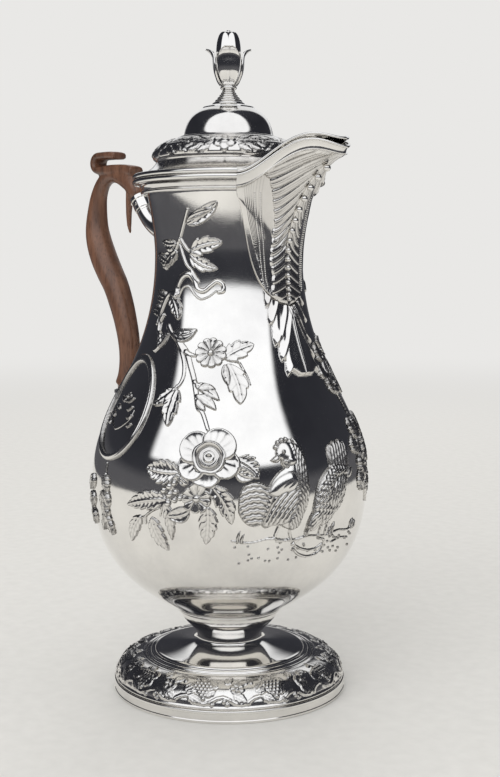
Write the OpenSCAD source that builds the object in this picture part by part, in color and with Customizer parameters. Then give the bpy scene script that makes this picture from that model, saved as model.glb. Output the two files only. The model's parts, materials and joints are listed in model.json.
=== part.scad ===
// Baluster coffee pot in silver with a carved wooden scroll handle.
// Origin: on the pot's axis, at the underside of the foot. +X towards the spout, +Z up.

/* [Body] */
// Radius of the belly at its widest
belly_r = 65.2; // [60:0.1:72]
// Height of the widest point of the belly
belly_z = 99; // [92:0.5:106]
// Radius of the neck at its narrowest
neck_r = 34.6; // [33:0.1:36]
// Height of the narrowest point of the neck
neck_z = 207.5; // [203:0.5:210]
// Outer radius of the mouth
mouth_r = 38; // [37.2:0.1:39]
// Height of the top of the body's sheet
mouth_z = 240.6; // [236:0.1:246]
// Thickness of the raised sheet of body and lid
sheet = 1.0; // [0.8:0.1:1.8]

/* [Foot] */
// Radius of the foot where it stands
foot_r = 55.5; // [50:0.5:62]
// Height of the plain band round the foot
foot_band_h = 5.8; // [4:0.1:8]
// Radius of the inner edge of the chased border
border_in_r = 40; // [36:0.5:44]
// Height of the inner edge of the chased border
border_z = 16.6; // [14:0.1:19]
// Radius of the waist of the stem
waist_r = 15.6; // [12:0.1:19]
// Height of the waist of the stem
waist_z = 24.4; // [22.5:0.1:26]
// Height at which the body sits on the stem
seat_z = 39.4; // [39:0.1:44]
// Radius of the seat between stem and body
seat_r = 26.4; // [25.6:0.1:27.4]

/* [Rim and spout] */
// How far the rim wires stand out beyond the mouth
rim_out = 7; // [6:0.1:9]
// Radius of the two rim wires
rim_wire_r = 1.15; // [0.8:0.05:1.3]
// Half of the angle that the spout takes out of the rim
spout_half_angle = 41.5; // [39:0.5:43]
// Reach of the spout's tip from the axis
spout_reach = 70.5; // [66:0.5:76]
// Rise of the spout's tip above the mouth
spout_tip_rise = 11.7; // [9:0.1:14]
// Thickness of the cast spout
spout_wall = 1.4; // [1:0.1:2]
// Number of beads along the keel of the spout
keel_beads = 16; // [12:1:17]
// Radius of the largest bead, at the top of the keel
keel_bead_r = 1.5; // [1.2:0.05:1.7]
// Depth of the flutes on the spout
flute_depth = 0.7; // [0.3:0.1:1]

/* [Lid] */
// Radius of the domed centre of the lid
dome_r = 20.8; // [18:0.1:22]
// Height of the dome above its seat on the lid's band
dome_h = 13.6; // [11:0.1:17]
// Radius of the chased band round the lid
band_r = 36; // [34.5:0.1:37]
// Depth of the bezel that drops into the mouth
bezel_h = 5; // [3:0.5:8]
// Height of the finial above the dome
finial_h = 35.6; // [30:0.1:42]

/* [Handle] */
// Reach of the handle's back from the axis
handle_reach = 101.8; // [98:0.1:106]
// Radius of the grip where it is fullest
grip_r = 7.2; // [6.4:0.1:7.6]
// Width of the thumb scroll across the handle
thumb_w = 10; // [8:0.5:13]
// Radius of the tenon in the upper socket
upper_tenon_r = 3.55; // [3.2:0.05:3.7]
// Radius of the tenon in the lower socket
lower_tenon_r = 4.4; // [4:0.05:4.6]
// Radius of the pins through the sockets
socket_pin_r = 0.8; // [0.6:0.05:1]

/* [Hinge] */
// Length of the lid's hinge
hinge_l = 14; // [10:0.5:18]
// Radius of the hinge knuckles
knuckle_r = 1.9; // [1.6:0.05:2.1]
// Radius of the hinge pin
hinge_pin_r = 0.8; // [0.6:0.05:1]

/* [Hidden] */
$fn = 96;

// Clearances
seam = 0.04;            // soldered or seated faces
pin_clear = 0.05;       // running fit of the hinge pin
lid_gap = 0.15;         // between the two rim wires with the lid shut
knuckle_gap = 0.2;      // between neighbouring knuckles

silver = [0.80, 0.81, 0.82];
silver_shade = [0.66, 0.68, 0.70];
wood = [0.42, 0.26, 0.15];

// ---- curves ----
function bez(p, t) = len(p) == 1 ? p[0]
    : bez([for (i = [0:len(p) - 2]) p[i] * (1 - t) + p[i + 1] * t], t);
function curve(p, n, t0 = 0, t1 = 1) = [for (i = [0:n]) bez(p, t0 + (t1 - t0) * i / n)];
function arc(c, r, a0, a1, n) = [for (i = [0:n]) let (a = a0 + (a1 - a0) * i / n)
    [c[0] + r * cos(a), c[1] + r * sin(a)]];
function unit(v) = v / norm(v);
function clamp01(x) = min(1, max(0, x));
function rev(l) = [for (i = [len(l) - 1:-1:0]) l[i]];
// points of a line moved by d to its left
function offset_line(l, d) = [for (i = [0:len(l) - 1]) let (
    t = unit(l[min(i + 1, len(l) - 1)] - l[max(i - 1, 0)])) l[i] + d * [-t[1], t[0]]];

rim_r = mouth_r + rim_out;              // the rim wires where they stand out most

// ---- the body's outline: foot seat to belly, belly to neck, neck to mouth ----
collar_z = 234.2 + mouth_z - 240.6;
low_pts = [[seat_r, seat_z], [seat_r + 12.5, seat_z + 8.3], [belly_r, belly_z - 40], [belly_r, belly_z]];
high_pts = [[belly_r, belly_z], [belly_r, belly_z + 39.8], [neck_r, neck_z - 55.4], [neck_r, neck_z]];
neck_pts = [[neck_r, neck_z], [neck_r, neck_z + 6], [mouth_r - 1.6, collar_z - 7], [mouth_r, collar_z]];
body_line = concat(curve(low_pts, 16), curve(high_pts, 20, 0.05), curve(neck_pts, 8, 0.125),
    [[mouth_r, mouth_z]]);
// radius of the body at height z
body_zr = [for (p = body_line) [p[1], p[0]]];
function body_r(z) = lookup(z, body_zr);
function polar(r, a, z) = [r * cos(a), r * sin(a), z];
// a point on the body's skin, d off it
function on_body(a, z, d) = polar(body_r(z) + d, a, z);

// ---- the spout's edges ----
rim_z = mouth_z + 0.25;                 // top of the body's rim wire
moulding_r = mouth_r + 2.3;             // lower moulding of the collar
tip_z = mouth_z + spout_tip_rise;
beak_wire_r = 0.6;
edge_wall_r = rim_r - 0.6;
// plan of the beak's edge from its root (t=0) to its tip (t=1)
function beak_plan(root_r, reach, t) = let (a = spout_half_angle) bez([
    [root_r * cos(a), root_r * sin(a)], [44 / 70.5 * reach, root_r * 0.32],
    [66.5 / 70.5 * reach, root_r * 0.32], [reach, 0]], t);
function beak_top_z(t) = bez([rim_z - 0.1, rim_z + 0.7, tip_z + 14.2, tip_z, tip_z], t);
function beak_low_z(t) = beak_top_z(t) - 5.9 + 2 * t * t;
// edges as functions of w, from -1 at one root through 0 at the tip to 1 at the other
function side(w) = w < 0 ? -1 : 1;
function edge(root_r, reach, w) = let (p = beak_plan(root_r, reach, 1 - abs(w)))
    [p[0], side(w) * p[1]];
function low_edge(w) = let (p = edge(moulding_r + 0.5, spout_reach - 1.9, w))
    [p[0], p[1], beak_low_z(1 - abs(w))];
function top_edge(w) = let (p = edge(edge_wall_r, spout_reach - beak_wire_r, w))
    [p[0], p[1], beak_top_z(1 - abs(w)) - beak_wire_r];
// where the beak leaves the neck, and the outline of its panel on the neck
throat_z = neck_z + 0.5;
panel_z = neck_z - 24;
function root_a(w) = w * (spout_half_angle - 1.2);
function root_z(w) = throat_z + (collar_z - 3 - throat_z) * pow(abs(w), 1.5);
function panel_a(w) = side(w) * bez([0, 34, 30, spout_half_angle - 0.6], abs(w));
function panel_low_z(w) = bez([panel_z, panel_z + 4, panel_z + 30, collar_z - 1], abs(w));

// grid of points -> faces; rows of n points
function grid_faces(rows, n, flip) = [for (j = [0:rows - 2], i = [0:n - 2])
    let (a = j * n + i, b = a + 1, c = a + n + 1, d = a + n) flip ? [d, c, b, a] : [a, b, c, d]];
// closed skin between two grids of the same size
module skin(outer, inner) {
    rows = len(outer);
    n = len(outer[0]);
    pts = concat([for (r = outer, p = r) p], [for (r = inner, p = r) p]);
    k = rows * n;
    faces = concat(
        grid_faces(rows, n, false),
        [for (f = grid_faces(rows, n, true)) [for (v = f) v + k]],
        [for (i = [0:n - 2]) [i + 1, i, i + k, i + 1 + k]],
        [for (i = [0:n - 2]) let (a = (rows - 1) * n + i) [a, a + 1, a + 1 + k, a + k]],
        [for (j = [0:rows - 2]) let (a = j * n) [a, a + n, a + n + k, a + k]],
        [for (j = [0:rows - 2]) let (a = j * n + n - 1) [a + n, a, a + k, a + n + k]]);
    polyhedron(pts, faces, convexity = 6);
}
// tube along a path: points p[i], half sizes s[i] = [in the XZ plane, across it]
module sweep_xz(p, s, sides) {
    n = len(p);
    rings = [for (i = [0:n - 1]) let (
        t = unit(p[min(i + 1, n - 1)] - p[max(i - 1, 0)]), nrm = [-t[1], t[0]])
        [for (k = [0:sides - 1]) let (a = 360 * (k + 0.5) / sides, q = p[i] + nrm * s[i][0] * cos(a))
            [q[0], s[i][1] * sin(a), q[1]]]];
    faces = concat(
        [[for (k = [sides - 1:-1:0]) k]],
        [for (i = [0:n - 2], k = [0:sides - 1]) let (a = i * sides + k, b = i * sides + (k + 1) % sides)
            [a, b, b + sides, a + sides]],
        [[for (k = [0:sides - 1]) (n - 1) * sides + k]]);
    polyhedron([for (r = rings, q = r) q], faces, convexity = 6);
}
// tube of round section along 3-D points
module wire3(p, r, sides) {
    n = len(p);
    rings = [for (i = [0:n - 1]) let (
        t = unit(p[min(i + 1, n - 1)] - p[max(i - 1, 0)]), u = unit(cross(t, [0, 0, 1])), v = cross(u, t))
        [for (k = [0:sides - 1]) let (a = 360 * (k + 0.5) / sides) p[i] + r * (cos(a) * u + sin(a) * v)]];
    faces = concat(
        [[for (k = [sides - 1:-1:0]) k]],
        [for (i = [0:n - 2], k = [0:sides - 1]) let (a = i * sides + k, b = i * sides + (k + 1) % sides)
            [a, b, b + sides, a + sides]],
        [[for (k = [0:sides - 1]) (n - 1) * sides + k]]);
    polyhedron([for (r = rings, q = r) q], faces, convexity = 6);
}
// a ring that leaves out the sector taken by the spout
module open_ring(a = spout_half_angle) {
    rotate([0, 0, a]) rotate_extrude(angle = 360 - 2 * a) children();
}

// ---- body ----
module body_shell() {
    inner_line = offset_line(body_line, sheet);
    color(silver) difference() {
        rotate_extrude() polygon(concat([[0, seat_z]], body_line,
            [[mouth_r - sheet, mouth_z], [mouth_r - sheet, collar_z - 4]],
            rev([for (p = inner_line) if (p[1] < collar_z - 4.2 && p[1] > seat_z + sheet) p]),
            [[0, seat_z + sheet]]));
        throat_cut();
    }
    color(silver) raised_work();
}
// way from the neck into the spout, cut along the root of the beak
module throat_cut() {
    half_w = 0.61 * mouth_r;
    function root_y(w) = side(w) * max(0, body_r(root_z(w)) * sin(abs(root_a(w))) - 0.3);
    rotate([90, 0, 90]) translate([0, 0, 15]) linear_extrude(30) polygon(concat(
        [[half_w, mouth_z + 5]], [for (w = [1:-0.0625:-1]) [root_y(w), root_z(w) + 0.2]], [[-half_w, mouth_z + 5]]));
}
// Raised flowers and leaves, hammered up from the body's own sheet. Each form is a patch of the skin,
// lifted inside an outline. Places are [azimuth, height] with the belly and neck as drawn.
function lift_z(z) = z < 99 ? seat_z + (z - 39.4) * (belly_z - seat_z) / 59.6
    : belly_z + (z - 99) * (neck_z - belly_z) / 108.5;
function flat(p, a) = let (z = lift_z(p[1])) [body_r(z) * sin(p[0] - a), z];
module raised(a, high, outline, hole = []) {
    low_z = min([for (p = outline) p[1]]) - 1;
    top_z = max([for (p = outline) p[1]]) + 1;
    wide = max([for (p = outline) abs(p[0])]);
    n = max(2, round((top_z - low_z) / 6));
    zs = [for (i = [0:n]) mid(low_z, top_z, i / n)];
    near = min([for (z = zs) body_r(z)]);
    far = max([for (z = zs) body_r(z)]) + high + 1;
    span = min(80, asin(min(0.97, wide / near)) + 3);
    intersection() {
        rotate([0, 0, a - span]) rotate_extrude(angle = 2 * span) polygon(concat(
            [for (z = zs) [body_r(z) + high, z]], [for (i = [n:-1:0]) [body_r(zs[i]) - 0.2 - 0.2 * high, zs[i]]]));
        rotate([0, 0, a]) rotate([90, 0, 90]) translate([0, 0, near * cos(span) - 1]) difference() {
            linear_extrude(far - near * cos(span) + 2) polygon(outline);
            if (len(hole) > 0) translate([0, 0, -1]) linear_extrude(far - near * cos(span) + 4) polygon(hole);
        }
    }
}
// a leaf from its base to its tip, w across
module raised_leaf(side, b, t, w, high) {
    a = side * (b[0] + t[0]) / 2;
    p = flat([side * b[0], b[1]], a);
    d = flat([side * t[0], t[1]], a) - p;
    n = [-d[1], d[0]] / norm(d) * w / 2;
    raised(a, high, concat([p - 0.25 * n], [for (f = [[0.15, 0.65], [0.42, 1], [0.75, 0.6]]) p + f[0] * d - f[1] * n], [p + d],
        [for (f = [[0.75, 0.6], [0.42, 1], [0.15, 0.65]]) p + f[0] * d + f[1] * n], [p + 0.25 * n]));
}
// a round flower; petals > 0 makes its edge wavy
module raised_flower(side, at, r, high, petals = 0) {
    c = flat([0, at[1]], 0);
    k = petals > 0 ? 4 * petals : 16;
    raised(side * at[0], high, [for (i = [0:k - 1]) c + r * (petals > 0 ? 1 - 0.1 * (i % 4 == 0 ? 1 : 0) : 1)
        * [cos(360 * i / k), sin(360 * i / k)]]);
}
module raised_shape(side, a, high, points) {
    raised(side * a, high, [for (p = points) flat([side * p[0], p[1]], side * a)]);
}
module raised_work() {
    for (side = [-1, 1]) {
        // rose, two daisies and their leaves
        raised_flower(side, [54.2, 119.6], 10.6, 1.3, 5);
        raised_flower(side, [54.2, 119.6], 6.4, 2.1);
        raised_flower(side, [58.3, 102.4], 6, 1.3);
        raised_flower(side, [56.7, 163], 6.8, 1.3);
        for (l = [[[77.5, 150], [86, 141], 6.5, 1.1], [[75.2, 148], [74.5, 131.5], 8, 1.2], [[62, 151], [50, 142.5], 6, 1.1],
            [[85, 172.5], [66.5, 174.5], 6, 1], [[49.5, 163], [30.5, 166.2], 8.5, 1.1], [[47, 156], [37.5, 141.5], 8, 1.1],
            [[66, 113], [80, 114.3], 11, 1.2], [[43, 118], [34.8, 110.8], 9, 1.1], [[69, 101.5], [90.5, 97], 9, 1.1],
            [[83, 91], [88.5, 80.5], 6.5, 1], [[76, 91], [70.5, 78.5], 7, 1], [[54, 94.5], [55, 82.5], 8, 1.1],
            [[49.5, 106], [45, 91.5], 8, 1.2], [[92, 168], [97, 178], 5, 1.1], [[105, 110], [104, 86], 8, 1.1],
            // bud, leaves and crest on the neck
            [[77, 220.5], [54, 227.5], 8, 1], [[75, 207.6], [50.5, 211.5], 8, 1.1], [[75, 203.5], [54, 199.8], 6.5, 1],
            [[88, 206.5], [103, 200], 6.5, 1.1], [[88, 211.5], [104, 213.5], 5, 1], [[91, 184.5], [82, 176], 6.5, 1.1],
            [[96, 189.5], [108, 193.5], 6, 1.1], [[100, 184], [112, 182], 6, 1]])
            raised_leaf(side, l[0], l[1], l[2], l[3]);
        raised_shape(side, 68, 1.2, [[86.5, 188], [87, 192], [82.5, 197], [75.5, 198.6], [70.5, 196], [67.5, 192.6], [63.5, 192],
            [59, 194], [54, 195.6], [49.8, 193.6], [50, 189.8], [54.4, 191.4], [59.4, 189.6], [64.6, 187.6], [70.4, 189],
            [74, 193], [77, 194], [81, 192.6], [83.4, 188]]);
        // frame of the oval shield
        raised(side * 105.6, 1.5, shield_line(18.6, 23.3), shield_line(15.4, 20));
    }
    // the cock and the hen under the spout, and flowers on the far flank
    raised_shape(1, -37.5, 1.5, [[-43, 94], [-43, 102], [-38.5, 109], [-34.4, 108], [-32, 103], [-32.6, 97], [-34.8, 91], [-39, 89.6]]);
    raised_shape(1, -24, 1.6, [[-24, 115], [-29.6, 108.4], [-31.4, 103], [-33, 91], [-28, 91], [-21, 88.4], [-17.6, 96],
        [-16.2, 106], [-19.2, 116.4], [-19.6, 123], [-23, 125.6], [-27, 122], [-27, 118.4]]);
    raised_shape(1, -25.5, 2.3, [[-32, 93], [-30, 101.6], [-26, 107], [-21, 109], [-18.4, 101], [-21, 94.6], [-26, 91]]);
    raised_shape(1, 0, 1.5, [[-11.6, 99], [-14.6, 90], [-13.4, 87], [-9, 90.6], [-2, 94.2], [5, 99.4], [7.6, 108], [8.6, 118], [5, 124.4],
        [-1.6, 122.6], [-2.6, 112.4], [-8.4, 107]]);
    raised_shape(1, -2, 2.1, [[-8.2, 99], [-5, 98.4], [3, 104], [5, 109], [1.2, 111], [-6, 105.6]]);
    raised_flower(1, [24, 111], 5.4, 1.3);
    raised_flower(1, [24, 147], 5, 1.2);
    raised_leaf(1, [26, 122], [21.5, 132], 5.4, 1);
    raised_leaf(1, [23, 94], [20, 103], 5.4, 1);
}
function shield_line(rx, ry) = let (c = flat([0, 137.5], 0)) [for (i = [0:23]) c + [rx * cos(15 * i), ry * sin(15 * i)]];
module collar_wire() {
    r = 0.85;
    color(silver) open_ring() polygon(concat([[mouth_r + seam, collar_z - 0.1], [mouth_r + 0.4, collar_z - 0.1]],
        arc([moulding_r, collar_z + 0.75], r, -120, 90, 14), [[mouth_r + seam, collar_z + 1.6]]));
}
module collar_band() {
    low = collar_z + 1.6 + seam;
    high = rim_z - 2 * rim_wire_r - seam;
    color(silver_shade) open_ring() polygon(concat([[mouth_r + seam, low], [moulding_r - 0.2, low]],
        curve([[moulding_r - 0.1, low + 0.2], [moulding_r + 0.4, high - 0.6], [rim_r - 2.2, high - 0.3]], 8),
        [[rim_r - 1.4, high], [mouth_r + seam, high]]));
}
module rim_wire() {
    c = rim_z - rim_wire_r;
    color(silver) open_ring() polygon(concat([[mouth_r + seam, c - rim_wire_r]],
        arc([rim_r - rim_wire_r, c], rim_wire_r, -90, 90, 16), [[mouth_r + seam, c + rim_wire_r]]));
}

// ---- spout ----
// flute waves run up and outwards from the panel's edge to the keel
function flute(q, z) = let (pitch = 4.4, f = (z - 0.95 * q) / pitch) abs(sin(180 * f)) - 0.5;
function beak_point(w, t, d) = let (
    a = on_body(root_a(w), root_z(w), d),
    b = low_edge(w) - (spout_wall - d) * [cos(root_a(w)), sin(root_a(w)), 0],
    c = [mid(a[0], b[0], 0.02), mid(a[1], b[1], 0.13), mid(a[2], b[2], 0.25)],
    e = [mid(a[0], b[0], 0.37), mid(a[1], b[1], 0.47), mid(a[2], b[2], 0.93)])
    bez([a, c, e, b], t);
function mid(a, b, f) = a + (b - a) * f;
function fluted(w, t, d) = let (p = beak_point(w, t, d), g = flute_depth * sin(180 * clamp01(t * 1.02))
    * clamp01(6 * abs(w)) * clamp01(5 * (1 - abs(w))), r = norm([p[0], p[1]]))
    p + g * flute(r - neck_r, p[2]) * [cos(root_a(w)), sin(root_a(w)), 0];
module spout() {
    n = 48;
    m = 20;
    ws = [for (i = [0:n]) -1 + 2 * i / n];
    panel = [for (j = [0:3]) [for (w = ws) let (f = j / 3)
        on_body(mid(panel_a(w), root_a(w), f * 0.97), mid(panel_low_z(w), root_z(w), f * 0.97),
            mid(panel_low_wall, spout_wall, f))]];
    panel_in = [for (j = [0:3]) [for (w = ws) let (f = j / 3)
        on_body(mid(panel_a(w), root_a(w), f * 0.97), mid(panel_low_z(w), root_z(w), f * 0.97), seam)]];
    beak = [for (j = [0:m]) [for (w = ws) fluted(w, j / m, spout_wall)]];
    beak_in = [for (j = [0:m]) [for (w = ws) beak_point(w, j / m, seam)]];
    color(silver_shade) skin(rev(concat(panel, beak)), rev(concat(panel_in, beak_in)));
}
module spout_rim() {
    n = 48;
    ws = [for (i = [0:n]) -1 + 2 * i / n];
    function outw(w) = [cos(spout_half_angle * w), sin(spout_half_angle * w), 0];
    outer = [for (w = ws) [for (f = [0, 0.08, 0.35, 0.7, 1]) let (a = low_edge(w), b = top_edge(w),
        s = f < 0.05 ? 0.3 : (f < 0.1 ? 0.7 : -0.5 * sin(180 * f))) mid(a, b, f)
        + [0, 0, seam] * (f > 0 ? 0 : 1) + s * outw(w)]];
    inner = [for (w = ws) [for (f = [0, 0.08, 0.35, 0.7, 1]) let (a = low_edge(w), b = top_edge(w))
        mid(a, b, f) + [0, 0, seam] * (f > 0 ? 0 : 1) - (spout_wall + 0.5 * sin(180 * f)) * outw(w)]];
    color(silver) union() {
        skin(outer, inner);
        wire3([for (w = ws) top_edge(w) + [0, 0, 0] - 0.1 * outw(w)], beak_wire_r, 8);
    }
}
// line of the keel from near the tip down to the foot of the panel
panel_low_wall = 0.9;
function panel_wall(z) = mid(panel_low_wall, spout_wall, clamp01((z - panel_z) / (throat_z - panel_z)));
keel_line = concat([for (t = [0.95:-0.03:0.02]) beak_point(0, t, spout_wall)],
    [for (i = [0:12]) let (z = mid(throat_z, panel_z + 2.6, i / 12)) on_body(0, z, panel_wall(z))]);
function length(l) = [for (i = [0:len(l) - 2]) norm(l[i + 1] - l[i])] * [for (i = [0:len(l) - 2]) 1];
function along(l, s, i = 0) = let (d = norm(l[i + 1] - l[i])) s <= d || i >= len(l) - 2
    ? mid(l[i], l[i + 1], min(1, s / d)) : along(l, s - d, i + 1);
// beads shrink down the keel, and the gaps between them shrink faster
module spout_keel_beads() {
    n = keel_beads - 1;
    l = length(keel_line);
    function bead_r(i) = keel_bead_r * (1 - 0.5 * pow(i / n, 1.3));
    function gap(i) = pow(bead_r(i), 1.4);
    function upto(i) = i < 1 ? 0 : gap(i - 1) + upto(i - 1);
    function centre(i) = let (s = l * upto(i) / upto(n),
        t = unit(along(keel_line, s + 0.4) - along(keel_line, max(0, s - 0.4))))
        along(keel_line, s) + (bead_r(i) + seam) * [-t[2], 0, t[0]];
    color(silver) union() {
        for (i = [0:n]) translate(centre(i)) sphere(bead_r(i), $fn = 32);
        for (i = [0:n - 1]) let (a = centre(i), d = centre(i + 1) - a) translate(a)
            rotate([0, atan2(d[0], d[2]), 0]) cylinder(r = 0.3 * bead_r(i), h = norm(d), $fn = 24);
    }
}
// leaf that hangs below the panel, with pointed lobes down both sides
drop_h = 32.6;
drop_lobes = 5;
module spout_drop() {
    n = 16;
    m = 30;
    top = panel_z - 0.3;
    low = top - drop_h;
    function half_a(f) = 9 + 11.5 * (1 - (1 - f) * (1 - f)) - 3.2 * frac(drop_lobes * (1 - pow(1 - f, 1.15)) + 0.75);
    function frac(x) = x - floor(x);
    function drop_z(u, f) = mid(low - 1.6 * cos(90 * u) + 1.2 * abs(sin(270 * u)),
        panel_low_z(abs(u) * 0.21) - 0.3, f);
    function drop_pt(u, f, d) = on_body(u * half_a(f) - 4 * pow(1 - f, 2), drop_z(u, f), d);
    grid_o = [for (j = [0:m]) [for (i = [0:n]) let (u = -1 + 2 * i / n) drop_pt(u, j / m,
        0.7 + 0.8 * pow(cos(90 * u), 6) + 0.3 * abs(sin(180 * (1.5 * abs(u) + drop_lobes * j / m))))]];
    grid_i = [for (j = [0:m]) [for (i = [0:n]) let (u = -1 + 2 * i / n) drop_pt(u, j / m, seam)]];
    color(silver_shade) skin(rev(grid_o), rev(grid_i));
}

// ---- foot ----
module foot_rim() {
    color(silver) rotate_extrude() polygon([[foot_r - 2.4, 0], [foot_r, 0], [foot_r, foot_band_h - 0.6],
        [foot_r - 0.5, foot_band_h], [foot_r - 2.4, foot_band_h]]);
}
module foot_border() {
    low = [foot_r - 0.9, foot_band_h + seam];
    high = [border_in_r, border_z];
    line = curve([low, low + [0.4, 5.2], high + [9, 0.9], high], 14);
    color(silver_shade) rotate_extrude() polygon(concat([low - [2, 0]], line,
        [high - [0, 1.4]], rev([for (p = offset_line(line, 1.3)) if (p[1] > foot_band_h + 1
            && p[0] > border_in_r + 0.8) p])));
}
module foot_pedestal() {
    top_z = seat_z - 2.6;
    in_r = border_in_r - seam;
    line = concat([[in_r, border_z - 1.3], [in_r, border_z - 0.1], [in_r - 1.6, border_z + 0.1],
        [in_r - 1.9, border_z + 1.0], [in_r - 3.6, border_z + 1.2], [in_r - 3.9, border_z + 2.1]],
        curve([[in_r - 5, border_z + 2.3], [waist_r + 9, border_z + 3.6], [waist_r, waist_z - 3.6],
            [waist_r, waist_z]], 12),
        curve([[waist_r, waist_z], [waist_r, waist_z + 4.4], [seat_r - 4.5, top_z - 5], [seat_r - 3.6, top_z - 2]], 8, 0.12),
        [[seat_r - 3.4, top_z]]);
    color(silver) rotate_extrude() polygon(concat(line, [[seat_r - 3.4 - 1.3, top_z]],
        rev([for (p = offset_line(line, 1.3)) if (p[1] < top_z - 0.6 && p[1] > border_z - 0.6 && p[0] < in_r - 1.7) p]),
        [[in_r - 1.7, border_z - 1.3]]));
}
module stem_ring_lower() {
    z = seat_z - 2.6 + seam;
    color(silver) rotate_extrude() polygon(concat([[seat_r - 5.4, z]],
        arc([seat_r - 3.1, z + 0.45], 0.45, -90, 90, 8), [[seat_r - 5.4, z + 0.9]]));
}
module stem_ring_upper() {
    z = seat_z - 1.7 + 2 * seam;
    h = 1.7 - 3 * seam;
    color(silver) rotate_extrude() polygon(concat([[seat_r - 5.4, z]],
        arc([seat_r - 1.6, z + h / 2], h / 2, -90, 90, 10), [[seat_r - 5.4, z + h]]));
}

// ---- handle ----
upper_turn = 58;
upper_mouth = [-62.5, mouth_z - 4.6];
upper_dir = [-cos(upper_turn), sin(upper_turn)];
upper_straight = 8;
upper_start = upper_mouth - upper_straight * upper_dir;
upper_bend_r = (-upper_start[0] - body_r(216) + 1) / sin(upper_turn);
lower_x = -(belly_r + 8.8);
lower_mouth_z = 138.5;
lower_bend_r = 12.5;
lower_straight = 3;
back = handle_reach - 101.8;
// half sizes of the grip follow its fullest radius
function gr(f) = grip_r * f / 7.2;
grip_path = [[-63.1, mouth_z - 3.7, 4.5], [-66.2, mouth_z + 1.2, 5.1], [-72, mouth_z + 5.1, 5.0],
    [-78.6, mouth_z + 7.2, 4.2], [-84.5 - back, mouth_z + 7.2, 3.9], [-89.4 - back, mouth_z + 4.6, 3.9],
    [-92.6 - back, mouth_z + 0.2, gr(4.2)], [-94.7 - back, mouth_z - 6, gr(4.8)],
    [-95.8 - back, mouth_z - 17.3, gr(6.0)], [-94.5 - back, mouth_z - 25.2, gr(6.8)],
    [-91 - back, mouth_z - 33.6, gr(7.2)], [-86.1 - back, mouth_z - 41.8, gr(7.1)],
    [lower_x / 2 - back / 2 - 44.2, mouth_z - 49.1, gr(6.8)], [lower_x / 2 - 40.2, mouth_z - 57.8, gr(6.5)], [lower_x - 0, mouth_z - 66.8, gr(6.1)],
    [lower_x + 2.4, mouth_z - 76.6, gr(5.8)], [lower_x + 3, 155, gr(5.5)], [lower_x + 2, 146.5, gr(5.5)],
    [lower_x, lower_mouth_z + 2, gr(5.9)]];
// Catmull-Rom points between the path's own
function cr(a, b, c, d, t) = 0.5 * (2 * b + (c - a) * t + (2 * a - 5 * b + 4 * c - d) * t * t
    + (3 * b - a - 3 * c + d) * t * t * t);
function smooth(p, k) = let (n = len(p)) [for (i = [0:n - 2], j = [0:k - 1])
    cr(p[max(i - 1, 0)], p[i], p[i + 1], p[min(i + 2, n - 1)], j / k)];
function full(p, k) = concat(smooth(p, k), [p[len(p) - 1]]);

module handle_grip() {
    path = full(grip_path, 2);
    arm_z = mouth_z + 10.2;
    plate_z = mouth_z + 17.6;
    curl = [-90.5 - back, (arm_z + plate_z) / 2];
    curl_r = (plate_z - arm_z) / 2;
    strap = concat([[-64.5, arm_z - 1.8], [-69, arm_z - 0.8], [-76, arm_z - 0.2], [-84, arm_z]],
        [for (a = [-90:-30:-270]) curl + curl_r * [cos(a), sin(a)]],
        [[-87 - back, plate_z], [-82, plate_z - 0.1], [-77.2, plate_z - 0.5]]);
    color(wood) difference() {
        union() {
            sweep_xz([for (p = path) [p[0], p[1]]], [for (p = path) [p[2], p[2]]], 16);
            sweep_xz(strap, [for (i = [0:len(strap) - 1]) i < 4 ? [2.6, thumb_w / 2 - 0.5]
                : [2, thumb_w / 2 - (i < len(strap) - 1 ? 0 : 0.8)]], 12);
            sweep_xz([[-69, mouth_z + 2], [-70, mouth_z - 5], [-70.6, mouth_z - 12], [-70.4, mouth_z - 19],
                [-69.6, mouth_z - 22.5]], [[2.4, 2.6], [1.7, 2.2], [1.35, 1.8], [1, 1.3], [0.5, 0.6]], 10);
            upper_tenon(upper_straight - 0.6, upper_tenon_r);
            translate([lower_x, 0, lower_mouth_z - 7]) cylinder(r = lower_tenon_r, h = 11);
        }
        upper_pin_hole(socket_pin_r + seam);
        lower_pin_hole(socket_pin_r + seam);
    }
}
// solid along the upper socket's axis, from its mouth inwards
module upper_tenon(l, r) {
    translate([upper_mouth[0], 0, upper_mouth[1]]) rotate([0, -90 + upper_turn, 0]) translate([0, 0, -l])
        cylinder(r = r, h = l + 2);
}
module upper_pin_hole(r) {
    p = upper_mouth - 4 * upper_dir;
    translate([p[0], 0, p[1]]) rotate([90, 0, 0]) cylinder(r = r, h = 20, center = true, $fn = 32);
}
module lower_pin_hole(r) {
    translate([lower_x, 0, lower_mouth_z - 3.4]) rotate([90, 0, 0]) cylinder(r = r, h = 24, center = true, $fn = 32);
}
upper_tube_r = upper_tenon_r + 0.75;
lower_tube_r = lower_tenon_r + 0.9;
module upper_socket() {
    color(silver) difference() {
        union() {
            translate([upper_mouth[0], 0, upper_mouth[1]]) rotate([0, -90 + upper_turn, 0]) {
                translate([0, 0, -upper_straight - 0.3]) cylinder(r = upper_tube_r + 0.12, h = upper_straight + 0.3);
                translate([0, 0, -7]) cylinder(r = upper_tube_r + 0.5, h = 7);
                translate([0, 0, -2]) cylinder(r = upper_tube_r + 1, h = 1.4);
            }
            translate([upper_start[0] + upper_bend_r * sin(upper_turn), 0,
                upper_start[1] + upper_bend_r * cos(upper_turn)])
                rotate([90, 0, 0]) rotate([0, 0, -90 - upper_turn])
                rotate_extrude(angle = upper_turn) translate([upper_bend_r, 0]) circle(upper_tube_r);
        }
        upper_tenon(upper_straight - 0.4, upper_tenon_r + seam);
        upper_pin_hole(socket_pin_r + seam);
        body_core();
    }
}
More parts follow.
